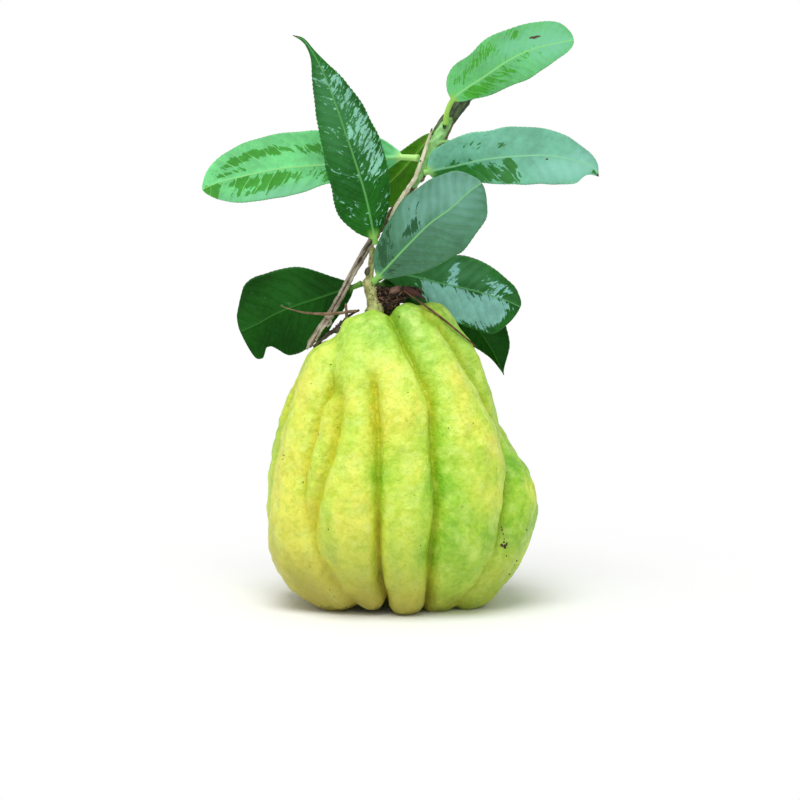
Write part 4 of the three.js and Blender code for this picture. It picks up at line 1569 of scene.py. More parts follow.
LEAVES = (
    Leaf("leaf_top", "leaf_underside", MINT_TOP,
         ((17.6, -1.6, 195.4), (18.2, -3, 200.4), (20.9, -4, 205.8), (34, -8, 215.4),
          (44, -10.5, 222), (52, -12, 225.6), (62, -13, 228.2), (68.6, -13.5, 229.4)), 10.6,
         (4.6, 9.8, 10.7, 11.7, 12, 11, 10.2, 9, 6), (3, 5.4, 7.8, 9, 10.1, 10.2, 8.7, 6, 4),
         (-0.55, 0.35), 0.1, 0.08, 0.5, 0.4, Side.UNDER, vein_gap=3.6, quilt=0.16,
         patches=(Spot(0.16, -0.50, 0.13, 0.45, 0.46), Spot(0.42, -0.40, 0.16, 0.45, 0.26),
                  Spot(0.24, 0.62, 0.10, 0.30, 0.24), Spot(0.42, 0.66, 0.10, 0.34, 0.30),
                  Spot(0.62, 0.72, 0.05, 0.3, 0.34), Spot(0.66, -0.1, 0.16, 0.3, 0.20),
                  Spot(0.12, 0.4, 0.06, 0.3, 0.24)),
         sheens=(Spot(0.85, 0.0, 0.3, 1.0, 0.7), Spot(0.5, 0.35, 0.2, 0.3, 0.3),
                 Spot(0.1, 0.6, 0.1, 0.5, 0.2)),
         scars=(Spot(0.735, 0.42, 0.055, 0.10, 0.75),)),
    Leaf("leaf_right", "leaf_pale", PALE_BLADE,
         ((9.2, -0.4, 175.9), (20.2, -4, 178.4), (33.2, -6, 181.4), (46.8, -6.5, 182.8),
          (57.2, -5, 183), (67.2, -2, 181.6), (77.2, 2, 178.0), (79.9, 3, 174.2)), 1.5,
         (6.4, 9.8, 11.6, 11.8, 12.0, 11.0, 9.0, 5.4, 1.2),
         (3.6, 6.2, 8.8, 10.9, 11.6, 11.7, 11.2, 9.0, 2.4),
         (-0.3, 0.25), 0.12, 0.06, 0.7, 0.5, vein_gap=6.0, quilt=0.05,
         patches=(Spot(0.18, -0.42, 0.15, 0.50, 0.46), Spot(0.08, -0.45, 0.08, 0.45, 0.40),
                  Spot(0.31, -0.62, 0.11, 0.45, 0.34),
                  Spot(0.46, -0.35, 0.04, 0.40, 0.40), Spot(0.44, -0.85, 0.08, 0.2, 0.26),
                  Spot(0.30, 0.6, 0.12, 0.2, 0.16), Spot(0.42, 0.45, 0.04, 0.2, 0.2),
                  Spot(0.97, -0.2, 0.03, 0.4, 0.5)),
         sheens=(Spot(0.72, -0.5, 0.25, 0.5, 0.6), Spot(0.9, 0.2, 0.15, 0.8, 0.5),
                 Spot(0.45, 0.6, 0.3, 0.4, 0.25)),
         scars=(Spot(0.66, -0.12, 0.022, 0.08, 0.6), Spot(1.0, 0.0, 0.025, 1.5, 0.9))),
    Leaf("leaf_left", "leaf_underside", MINT_UNDERSIDE,
         ((6.6, 1.6, 181.6), (0.4, 4.6, 181.8), (-6, 5.6, 181.4), (-31.2, 7.5, 178.8),
          (-50.4, 9, 177), (-65, 10.3, 173.9), (-75, 11, 171.4), (-81.7, 11.4, 168.4)), 7.0,
         (2, 6, 6.9, 8, 10.8, 12.2, 11.6, 9.6, 4.6),
         (4, 9.6, 11.8, 13.8, 14.3, 14.0, 12.8, 9.8, 2.2),
         (0.35, -0.3), 0.06, 0.1, 0.5, 0.5, Side.UNDER, vein_gap=5.6, quilt=0.18,
         stalk_radius=1.2,
         patches=(Spot(0.62, 0.32, 0.18, 0.28, 0.38), Spot(0.80, 0.20, 0.10, 0.20, 0.32),
                  Spot(0.60, -0.52, 0.08, 0.16, 0.36), Spot(0.72, -0.60, 0.08, 0.16, 0.40),
                  Spot(0.82, -0.55, 0.08, 0.16, 0.38), Spot(0.86, -0.22, 0.08, 0.12, 0.36),
                  Spot(0.32, 0.55, 0.1, 0.40, 0.40), Spot(0.985, 0.4, 0.05, 0.6, 0.7),
                  Spot(0.44, -0.5, 0.07, 0.16, 0.34), Spot(0.76, 0.66, 0.12, 0.2, 0.30),
                  Spot(0.36, -0.3, 0.06, 0.2, 0.24)),
         sheens=(Spot(0.62, 0.85, 0.3, 0.35, 0.8), Spot(0.3, 0.3, 0.15, 0.6, 0.4),
                 Spot(0.05, 0.0, 0.12, 1.0, 0.4))),
    Leaf("leaf_upright", "leaf_glossy", WET_BLADE,
         ((-10.6, -2.2, 147), (-11.6, -3, 152), (-13.6, -4, 162), (-15.2, -4.6, 168.6),
          (-19.6, -6, 182.9), (-22.8, -8, 192.5), (-26, -10.5, 202), (-30, -13, 213),
          (-35.6, -16.6, 224.6), (-39.4, -18.6, 229.6), (-43.2, -20, 231.2)), 2.0,
         (3, 11.8, 12.8, 11.9, 10.3, 8.8, 5.9, 1.6, 0.6),
         (1.5, 8.4, 11.5, 12.4, 11.4, 9.4, 5.2, 1.2, 0.5),
         (-0.3, 0.12), 0.05, 0.05, 1.0, 0.6, vein_gap=4.6, teeth=0.34, quilt=0.05,
         patches=(Spot(0.46, -0.60, 0.20, 0.35, 0.15), Spot(0.62, -0.70, 0.14, 0.3, 0.10),
                  Spot(0.76, -0.2, 0.12, 0.5, 0.10), Spot(0.30, -0.62, 0.12, 0.3, 0.08),
                  Spot(0.50, -0.16, 0.10, 0.12, 0.17), Spot(0.58, 0.3, 0.2, 0.3, 0.05)),
         patch_base=-0.15,
         sheens=(Spot(0.55, 0.5, 0.3, 0.6, 0.6), Spot(0.72, 0.0, 0.2, 1.0, 0.45),
                 Spot(0.5, -0.4, 0.2, 0.4, 0.5)),
         scars=(Spot(1.0, 0.0, 0.03, 2.0, 0.9),)),
    Leaf("leaf_centre", "leaf_pale", GREY_BLADE,
         ((-11.3, -3.4, 132), (-5.6, -9.5, 138.6), (2.8, -14, 147.9), (11.2, -17.5, 156.4),
          (19.6, -20, 162.7), (26.8, -21.5, 169.3), (31.8, -22, 172.9)), 3.0,
         (2, 7.3, 10.1, 12.4, 13.7, 14.1, 13.9, 11.3, 6),
         (2, 6.6, 11.4, 14.4, 16.1, 16.5, 14.2, 12, 7),
         (0.38, -0.15), 0.1, 0.05, 0.5, 0.3, vein_gap=4.8, quilt=0.06,
         patches=(Spot(0.12, 0.4, 0.12, 0.6, 0.26), Spot(0.44, 0.26, 0.10, 0.16, 0.40),
                  Spot(0.30, 0.75, 0.20, 0.3, 0.20), Spot(0.14, -0.4, 0.08, 0.3, 0.16),
                  Spot(0.62, 0.5, 0.12, 0.3, 0.08)),
         sheens=(Spot(0.85, 0.2, 0.22, 1.0, 0.6), Spot(0.55, 0.6, 0.22, 0.5, 0.5),
                 Spot(0.44, 0.3, 0.1, 0.2, 0.4), Spot(0.5, -0.5, 0.3, 0.5, 0.1))),
    Leaf("leaf_low_left", "leaf_glossy", DARK_BLADE,
         ((-16.6, 1.2, 130.6), (-20, 3, 129), (-25.2, 5, 127.4), (-33.6, 7, 124.4),
          (-43.6, 9, 121), (-53.2, 10, 116.8), (-59.2, 10, 113.4), (-66.5, 10, 110.0)), 4.0,
         (1.5, 7, 11, 16.5, 17.5, 18.4, 17.7, 15.3, 12.0),
         (1.5, 6, 10.8, 14.2, 15.8, 16.6, 16.6, 13.2, 4.6),
         (-0.15, 0.35), 0.035, 0.05, 0.5, 0.5, bite=Bite(0.845, 0.055, 5.6), vein_gap=5.6,
         quilt=0.05,
         patches=(Spot(0.55, -0.15, 0.2, 0.08, 0.10), Spot(0.7, -0.4, 0.08, 0.1, 0.12)),
         sheens=(Spot(0.5, -0.4, 0.3, 0.5, 0.45), Spot(0.4, 0.4, 0.3, 0.3, 0.2))),
    Leaf("leaf_low_right", "leaf_glossy", SLICK_BLADE,
         ((-10, 3, 132.4), (-4, 8.5, 134), (3.2, 11.5, 133), (14.8, 13.8, 130), (28, 14.5, 127),
          (42, 13.5, 123), (48.8, 12.5, 120)), 4.0,
         (1.5, 6, 8.5, 10, 12.3, 12.7, 10.8, 7.6, 4.2),
         (1.5, 6, 9.5, 12.4, 13.6, 14.5, 15.5, 15.0, 11.0),
         (0.3, -0.1), 0.1, 0.05, 0.5, 0.5, vein_gap=5.0, quilt=0.06,
         patches=(Spot(0.66, -0.50, 0.24, 0.42, 0.52), Spot(0.42, -0.32, 0.14, 0.30, 0.34),
                  Spot(0.84, -0.30, 0.10, 0.40, 0.42), Spot(0.50, -0.70, 0.14, 0.30, 0.34),
                  Spot(0.74, 0.5, 0.14, 0.4, 0.18), Spot(0.88, 0.5, 0.08, 0.3, 0.22),
                  Spot(0.50, 0.4, 0.04, 0.5, 0.30), Spot(0.3, -0.1, 0.08, 0.3, 0.2)),
         sheens=(Spot(0.6, 0.5, 0.3, 0.5, 0.6), Spot(0.3, 0.0, 0.2, 1.0, 0.3))),
    Leaf("leaf_low_back", "leaf_glossy", DARK_BLADE,
         ((-11.5, 4.6, 130), (-6, 12, 129), (8, 20, 126), (19, 24, 120), (29, 26.5, 112.3),
          (37, 28, 101.5), (42.6, 28.5, 90)), 4.0,
         (1, 5, 8, 10.5, 12, 12, 11, 7.4, 1), (1, 5, 8, 10, 10.5, 9.5, 6.5, 2.5, 0.6),
         (0.2, 0.1), 0.16, 0.05, 0.8, 0.4, quilt=0.05,
         patches=(Spot(0.75, 0.3, 0.06, 0.2, 0.16),), sheens=(Spot(0.75, 0.3, 0.1, 0.4, 0.4),)),
    Leaf("leaf_back", "leaf_olive", OLIVE_BLADE,
         ((14.6, 5, 193.6), (9, 8, 186.8), (3, 10.5, 179.6), (-4, 12.5, 172.2),
          (-12, 14, 165.4), (-19, 15, 160.2)), 2.0,
         (1, 3.4, 5.4, 7, 8.8, 9.2, 8, 5.6, 3), (1, 3.2, 5, 6.2, 7.6, 8.4, 7.6, 5.4, 3),
         (0.1, -0.1), 0.12, 0.1, 0.7, 0.3, Side.UNDER, stations=120, quilt=0.08,
         patches=(Spot(0.3, 0.0, 0.3, 1.0, 0.2),)),
)


# ---------------------------------------------------------------- twig and litter

@dataclass(frozen=True)
class Knuckle:
    """A swelling on a rod: its share of the length, how much wider, and its reach in mm."""

    at: float
    swell: float
    reach: float


@dataclass
class Rod:
    """A stem, stalk, sliver, bud or needle: a rounded section swept along a route.

    knots holds x, y, z and radius. The section's radius is
    r (1 + f cos(n turn + w run)) (1 + u noise), and r is wider at the knuckles. rough_cells
    are the noise cells per radian around and the length of one in mm.
    """

    JAGS: ClassVar[tuple[float, ...]] = (0, 1, -0.4, 0.7, -1, 0.5, -0.8, 0.9, 0)

    name: str
    slot: str
    finish: WoodFinish
    knots: tuple[Ball, ...]
    node: str = ""
    flat: float = 1.0
    ridges: int = 5
    ridge_depth: float = 0.06
    twist: float = 0.05
    uneven: float = 0.10
    ragged: float = 0.0
    knuckles: tuple[Knuckle, ...] = ()
    stains: tuple[tuple[float, float, float], ...] = ()
    around: int = 36
    spacing: float = 0.35
    rough_cells: tuple[float, float] = (2.2, 1.6)
    least_rings: int = 24
    end_inset: float = 0.001
    least_round: float = 0.02
    torn_from: float = 0.96

    def build(self) -> None:
        """Sweep the section along the route, close both ends and settle the piece."""
        table = np.array(self.knots, float)
        route = Route(table[:, :3])
        rings = max(self.least_rings, int(route.length / self.spacing))
        share = np.linspace(self.end_inset, 1 - self.end_inset, rings)
        run = share * route.length
        radius = table_spline(table[:, 3:], route.knot(share))[:, 0]
        for knuckle in self.knuckles:
            away = (run - knuckle.at * route.length) / knuckle.reach
            radius = radius * (1 + knuckle.swell * np.exp(-away ** 2))
        nearest = np.minimum(run, route.length - run) / np.maximum(radius, 0.1)
        radius = radius * np.sqrt(1 - (1 - np.clip(nearest, self.least_round, 1)) ** 2)
        turn = np.linspace(0, 2 * np.pi, self.around, endpoint=False)
        points = self._sweep(route, share, run, radius, turn)
        cloud = np.vstack([points[0].mean(0)[None], points.reshape(-1, 3),
                           points[-1].mean(0)[None]])
        ring = np.ones((rings, 1))
        marks = {"turn_cos": ring * np.cos(turn), "turn_sin": ring * np.sin(turn),
                 "run": run[:, None] * np.ones(self.around), "stain": self._stain(share, turn)}
        piece = make_piece(self.name, cloud, tube_faces(rings, self.around), with_ends(marks))
        settle(piece, self.finish.dress(self.name + "_finish"), self.slot,
               *([self.node] if self.node else []))

    def _sweep(self, route: Route, share: Array, run: Array, radius: Array, turn: Array) -> Array:
        """Points of the rings.

        Args:
            route: The rod's axis.
            share: Shares of its length.
            run: The same in mm.
            radius: Radius at each.
            turn: Angles around the section.

        Returns:
            Points, shape (rings, around, 3).
        """
        ahead, aside, facing = route.frames(share)
        wide = radius[:, None] * (1 + self.ridge_depth * np.cos(
            self.ridges * turn + self.twist * run[:, None]))
        girth, length = self.rough_cells
        cell = np.stack(np.broadcast_arrays(girth * np.cos(turn), girth * np.sin(turn),
                                            run[:, None] / length), axis=-1)
        rough = NOISE.at(cell.reshape(-1, 3) + 40.0 + len(self.name), 1.0).reshape(wide.shape)
        wide = wide * (1 + self.uneven * rough)
        axis = route.at(share)
        points = (axis[:, None] + (wide * np.cos(turn))[..., None] * aside[:, None]
                  + (wide * np.sin(turn) * self.flat)[..., None] * facing[:, None])
        jag = np.interp(turn, np.linspace(0, 2 * np.pi, len(self.JAGS)), self.JAGS)
        nearness = (smoothstep(share, self.torn_from, 1.0)
                    - smoothstep(1 - share, self.torn_from, 1.0))[:, None]
        return points + (self.ragged * jag * nearness)[..., None] * ahead[:, None]

    def _stain(self, share: Array, turn: Array) -> Array:
        """Dark marks, each given by its share along, angle in turns, and reach in share.

        Args:
            share: Shares of the rod's length.
            turn: Angles around the section.

        Returns:
            Their strength, shape (rings, around).
        """
        total = np.zeros((len(share), len(turn)))
        for at, angle, reach in self.stains:
            side = 0.5 + 0.5 * np.cos(turn - 2 * np.pi * angle)
            total += np.exp(-((share[:, None] - at) / reach) ** 2) * side ** 2
        return total


@dataclass
class Crumbs:
    """Many small chips in one closed mesh: squeezed, turned and roughened little globes.

    places holds the middle of each chip and sizes its three half sizes, both of shape (n, 3).
    """

    name: str
    places: Array
    sizes: Array
    seed: int
    rows: int = 5
    around: int = 8
    roughness: float = 0.28
    shade_power: float = 1.6

    def build(self, finish: LitterFinish, slot: str, *nodes: str) -> None:
        """Make the chips and settle them.

        Args:
            finish: Their finish.
            slot: Material slot of the record.
            nodes: Nodes that they replace.
        """
        rng = np.random.default_rng(self.seed)
        polar = np.linspace(0, np.pi, self.rows + 2)[1:-1]
        # The rings run downwards, so they turn backwards to keep the faces looking out.
        turn = np.linspace(0, -2 * np.pi, self.around, endpoint=False)
        ring = np.stack(np.broadcast_arrays(np.sin(polar)[:, None] * np.cos(turn),
                                            np.sin(polar)[:, None] * np.sin(turn),
                                            np.cos(polar)[:, None]), axis=-1).reshape(-1, 3)
        globe = np.vstack([[[0, 0, 1.0]], ring, [[0, 0, -1.0]]])
        count = len(self.places)
        rough = 1 + self.roughness * rng.uniform(-1, 1, (count, len(globe), 1))
        shapes = globe[None] * rough * self.sizes[:, None]
        turned = np.einsum("nij,nkj->nki", self._turns(rng, count), shapes)
        turned = turned + self.places[:, None]
        caps, quads = tube_faces(self.rows, self.around)
        step = (np.arange(count) * len(globe))[:, None, None]
        faces = ((caps[None] + step).reshape(-1, 3), (quads[None] + step).reshape(-1, 4))
        shade = np.repeat(rng.uniform(0, 1, count) ** self.shade_power, len(globe))
        piece = make_piece(self.name, turned.reshape(-1, 3), faces, {"shade": shade})
        settle(piece, finish.dress(self.name + "_finish"), slot, *nodes)

    @staticmethod
    def _turns(rng: np.random.Generator, count: int) -> Array:
        """Random turns as matrices, from random unit quaternions.

        Args:
            rng: Source of the random numbers.
            count: How many.

        Returns:
            Matrices, shape (count, 3, 3).
        """
        q = rng.normal(size=(count, 4))
        w, x, y, z = (q / np.linalg.norm(q, axis=1, keepdims=True)).T
        return np.stack([1 - 2 * (y * y + z * z), 2 * (x * y - w * z), 2 * (x * z + w * y),
                         2 * (x * y + w * z), 1 - 2 * (x * x + z * z), 2 * (y * z - w * x),
                         2 * (x * z - w * y), 2 * (y * z + w * x), 1 - 2 * (x * x + y * y)],
                        axis=-1).reshape(-1, 3, 3)


STALK_BARK = WoodFinish((0.50, 0.54, 0.19), (0.25, 0.24, 0.08), dots=0.95, roughness=0.6,
                        crack_share=0.4)
DEAD_WOOD = WoodFinish((0.24, 0.17, 0.10), (0.07, 0.05, 0.03), streak=0.10, crack_share=0.85,
                       relief=0.4)
GREY_WOOD = WoodFinish((0.56, 0.50, 0.40), (0.24, 0.19, 0.13), streak=0.10, crack_share=0.75,
                       relief=0.4)
PALE_WOOD = WoodFinish((0.88, 0.84, 0.62), (0.60, 0.56, 0.36), streak=0.10, crack_share=0.5)
GREEN_BARK = WoodFinish((0.36, 0.74, 0.27), (0.20, 0.46, 0.10), streak=0.12, crack_share=0.2,
                        roughness=0.5)
DARK_BARK = WoodFinish((0.10, 0.17, 0.06), (0.012, 0.020, 0.008), streak=0.10, crack_share=0.7,
                       roughness=0.5)
BUD_SCALE = WoodFinish((0.09, 0.08, 0.03), (0.025, 0.022, 0.012), crack_share=0.5)
RED_NEEDLE = WoodFinish((0.24, 0.09, 0.035), (0.05, 0.016, 0.010), streak=0.2, roughness=0.5)
RED_BRACT = WoodFinish((0.13, 0.030, 0.022), (0.020, 0.008, 0.006), streak=0.2, roughness=0.5,
                       crack_share=0.7)
PINK_CHIP = WoodFinish((0.26, 0.14, 0.11), (0.08, 0.035, 0.028), streak=0.3, crack_share=0.7)
DARK_TWIGLET = WoodFinish((0.11, 0.075, 0.050), (0.020, 0.014, 0.010), streak=0.2)
TAN_TENDRIL = WoodFinish((0.34, 0.22, 0.13), (0.14, 0.08, 0.045), streak=0.2)


TWIG_RODS: tuple[Rod, ...] = (
    Rod("stalk_wood", "stalk_bark", STALK_BARK,
        ((-10.6, -2.4, 117.2, 4.6), (-10.9, -2.2, 119.6, 3.9), (-11.3, -1.8, 122.2, 3.0),
         (-12.0, -1.4, 125.4, 2.3), (-12.8, -1, 128.4, 2.3), (-13.5, -0.5, 131.2, 2.5),
         (-13.1, -0.4, 133.2, 1.8), (-12.8, 0, 136.4, 1.3), (-12.1, 0.6, 142, 1.2),
         (-11.9, 1.1, 145.7, 1.3)),
        "fruit_stalk", uneven=0.16, ridge_depth=0.05,
        stains=((0.46, 0.72, 0.03), (0.52, 0.8, 0.02), (0.40, 0.78, 0.015))),
    Rod("branch_wood", "twig_bark", DEAD_WOOD,
        ((-37.6, -2, 105.4, 1.2), (-34.2, -1, 110.6, 1.15), (-28.8, 0.4, 118, 1.0),
         (-20.8, 2, 133, 0.9), (-14, 2.8, 145.6, 0.9), (-8.8, 3, 153.6, 1.1),
         (-2, 2.8, 162.8, 1.2), (4, 2.4, 170.4, 1.5), (6, 2.3, 173.4, 1.5)),
        "branch", flat=0.85, ridges=3, ridge_depth=0.25, uneven=0.25, ragged=1.6,
        knuckles=(Knuckle(0.16, 0.5, 1.6), Knuckle(0.5, 0.6, 2.0), Knuckle(0.68, 0.3, 1.4)),
        stains=((0.5, 0.25, 0.02), (0.17, 0.3, 0.02))),
    Rod("left_strand", "twig_bark", GREY_WOOD,
        ((-38.6, -2.6, 104.2, 0.4), (-35.2, -2.0, 110.4, 0.75), (-29.9, -0.8, 118.2, 0.7),
         (-26.0, 0.2, 125.4, 0.6), (-21.6, 1.0, 133.6, 0.6), (-15.2, 1.8, 145.2, 0.65),
         (-10.4, 2.1, 152.6, 0.5), (-6.0, 1.6, 158.4, 0.3)),
        flat=0.8, ridges=3, ridge_depth=0.2, uneven=0.25, ragged=0.6),
    Rod("right_strand", "twig_bark", GREY_WOOD,
        ((-35.0, -2.6, 107.4, 0.4), (-32.8, -2.0, 112.0, 0.7), (-30.4, -1.6, 115.0, 0.8),
         (-27.4, -0.9, 119.6, 0.65), (-22.6, 0.5, 128.4, 0.6), (-18.6, 1.2, 136.0, 0.6),
         (-13.2, 1.8, 144.6, 0.6), (-9.0, 1.9, 150.6, 0.35)),
        flat=0.8, ridges=3, ridge_depth=0.2, uneven=0.25, ragged=0.6,
        knuckles=(Knuckle(0.24, 0.5, 0.9), Knuckle(0.86, 0.6, 1.0))),
    Rod("knot_curl", "twig_bark", GREY_WOOD,
        ((-31.6, -1.8, 117.4, 0.35), (-29.6, -2.4, 116.8, 0.5), (-29.0, -2.2, 114.8, 0.5),
         (-30.6, -1.8, 113.2, 0.4)), uneven=0.3, spacing=0.2),
    Rod("green_stem", "twig_bark", GREEN_BARK,
        ((4.4, 1.0, 169.4, 0.8), (7.0, 0.9, 174.6, 1.9), (9.6, 1.2, 179.6, 2.4),
         (13.0, 1.4, 186.6, 2.6), (16.8, 1.4, 193, 2.5), (19.8, 1.6, 198.6, 2.0)),
        flat=0.8, ridges=2, ridge_depth=0.1, twist=0.02, uneven=0.12),
    Rod("stem_edge", "twig_bark", DEAD_WOOD,
        ((7.6, 0.4, 171.8, 0.4), (11.0, 0.2, 177.0, 0.4), (14.0, 0.2, 182.6, 0.45),
         (16.4, 0.2, 187.0, 0.7), (18.6, 0.4, 191.4, 0.5), (20.8, 0.6, 196.4, 0.4)),
        uneven=0.35, ridges=3, ridge_depth=0.2,
        knuckles=(Knuckle(0.62, 0.9, 1.2), Knuckle(0.05, 0.6, 0.8)),
        stains=((0.62, 0.7, 0.08),)),
    Rod("dark_wedge", "twig_bark", DARK_BARK,
        ((12.0, 1.6, 190.8, 0.25), (14.6, 1.2, 194.2, 1.1), (16.9, 1.4, 197.2, 1.4),
         (19.0, 1.8, 200.4, 0.7)), flat=0.6, uneven=0.15, spacing=0.2),
    Rod("dark_stem", "twig_bark", DARK_BARK,
        ((18.2, 2.6, 194, 1.4), (20.4, 2.6, 198.2, 2.1), (23.6, 2.4, 203, 2.3),
         (27.6, 2.2, 208, 2.0), (32, 2.6, 213.4, 1.2)),
        ridges=6, ridge_depth=0.16, twist=0.0, uneven=0.1),
    Rod("dry_splinter", "pale_dry_wood", PALE_WOOD,
        ((-5.4, -0.3, 156.4, 0.4), (-2, -0.5, 162.6, 0.7), (1.2, -0.9, 167.4, 0.8),
         (5.4, -1.6, 174, 0.75), (9.0, -2, 184, 0.65), (12.2, -2.2, 194.0, 0.35)),
        "dry_sliver", flat=0.6, ridges=2, ridge_depth=0.2, uneven=0.25,
        stains=((0.98, 0.2, 0.03), (0.66, 0.1, 0.012))),
    Rod("stalk_bud_scales", "bud_scale", BUD_SCALE,
        ((-14.4, -3, 134.2, 0.5), (-14.1, -2.9, 135.4, 1.1), (-13.8, -2.7, 136.6, 1.0),
         (-13.6, -2.5, 137.8, 0.3)), "stalk_bud", ridges=3, ridge_depth=0.15,
        spacing=0.12),
    Rod("axil_bud_scales", "bud_scale", BUD_SCALE,
        ((17.4, -1.2, 193.4, 0.3), (17.2, -1.4, 194.4, 0.7), (17.4, -1.5, 195.4, 0.6),
         (17.8, -1.4, 196.4, 0.3)), "axil_bud", ridges=3, ridge_depth=0.15,
        spacing=0.12),
    Rod("pale_knob", "twig_bark", GREEN_BARK,
        ((14.8, 0.4, 187.8, 1.0), (17.6, 0.0, 188.3, 0.9), (19.4, -0.6, 188.6, 0.6)),
        uneven=0.2, spacing=0.15),
)


@dataclass
class Twig:
    """Everything woody: the fruit's stalk, the branch, its slivers, petiole stubs and buds."""

    rods: tuple[Rod, ...] = TWIG_RODS

    def build(self) -> None:
        """Build every rod."""
        for rod in self.rods:
            rod.build()


SCRAP_CORES: tuple[Rod, ...] = (
    Rod("scrap_core", "dry_litter", DARK_TWIGLET,
        ((-9.4, 0.4, 125.0, 1.2), (-6.4, 0.0, 123.2, 2.6), (-3.0, -0.6, 123.6, 2.4),
         (0.6, -1.2, 126.2, 2.0), (5.0, -2.0, 127.0, 1.2)), uneven=0.4, spacing=0.3),
    Rod("scrap_foot", "dry_litter", DARK_TWIGLET,
        ((-10.4, 1.4, 121.6, 1.0), (-7.2, 0.8, 119.8, 2.0), (-4.0, 0.4, 120.8, 2.2),
         (-1.2, 0.4, 123.0, 1.6)), uneven=0.4, spacing=0.3),
)

DRY_RODS: tuple[Rod, ...] = (
    Rod("red_bract", "dry_litter", RED_BRACT,
        ((0.6, -6.0, 129.4, 0.6), (3.4, -6.4, 128.4, 1.2), (6.4, -6.6, 126.8, 0.9),
         (9.4, -6.8, 125.0, 0.2)), flat=0.3, ridges=4, ridge_depth=0.25, uneven=0.35,
        ragged=0.8, around=24),
    Rod("pale_chip", "dry_litter", PINK_CHIP,
        ((-4.6, -5.6, 127.4, 0.5), (-3.2, -5.8, 128.4, 1.1), (-1.8, -6.0, 129.2, 1.2),
         (-0.6, -6.0, 129.9, 0.6)), flat=0.3, ridges=4, ridge_depth=0.3, uneven=0.5,
        ragged=1.0, around=24, spacing=0.2),
    Rod("shoulder_twiglet", "dry_litter", DARK_TWIGLET,
        ((-36.2, -2.6, 105.0, 0.5), (-31.6, -2.4, 108.8, 0.75), (-27.2, -2.2, 112.2, 0.8),
         (-24.4, -2.4, 115.0, 0.45), (-21.6, -3.0, 117.8, 0.4), (-17.2, -4.4, 120.4, 0.35)),
        around=20, uneven=0.45),
    Rod("shoulder_bract", "dry_litter", DARK_TWIGLET,
        ((-28.6, -4.0, 111.4, 0.5), (-26.0, -5.6, 112.4, 1.3), (-23.6, -7.4, 111.4, 0.9),
         (-22.0, -9.0, 110.0, 0.2)), flat=0.4, ridges=2, ridge_depth=0.15,
        uneven=0.25, around=20, spacing=0.2),
    Rod("tendril_stem", "dry_litter", TAN_TENDRIL,
        ((-49.6, -5.6, 122.2, 0.14), (-44.8, -5.2, 120.6, 0.22), (-38.8, -4.8, 119.2, 0.40),
         (-30, -4.6, 118.8, 0.55), (-24, -4.6, 119.3, 0.62), (-18.2, -4.8, 120.1, 0.5)),
        "dry_tendril", around=20, uneven=0.25),
    Rod("tendril_stub", "dry_litter", TAN_TENDRIL,
        ((-22.4, -4.2, 111.4, 0.4), (-22.4, -4.3, 117.0, 0.6), (-22.8, -4.6, 123.0, 0.5)),
        ragged=0.4, around=20),
)


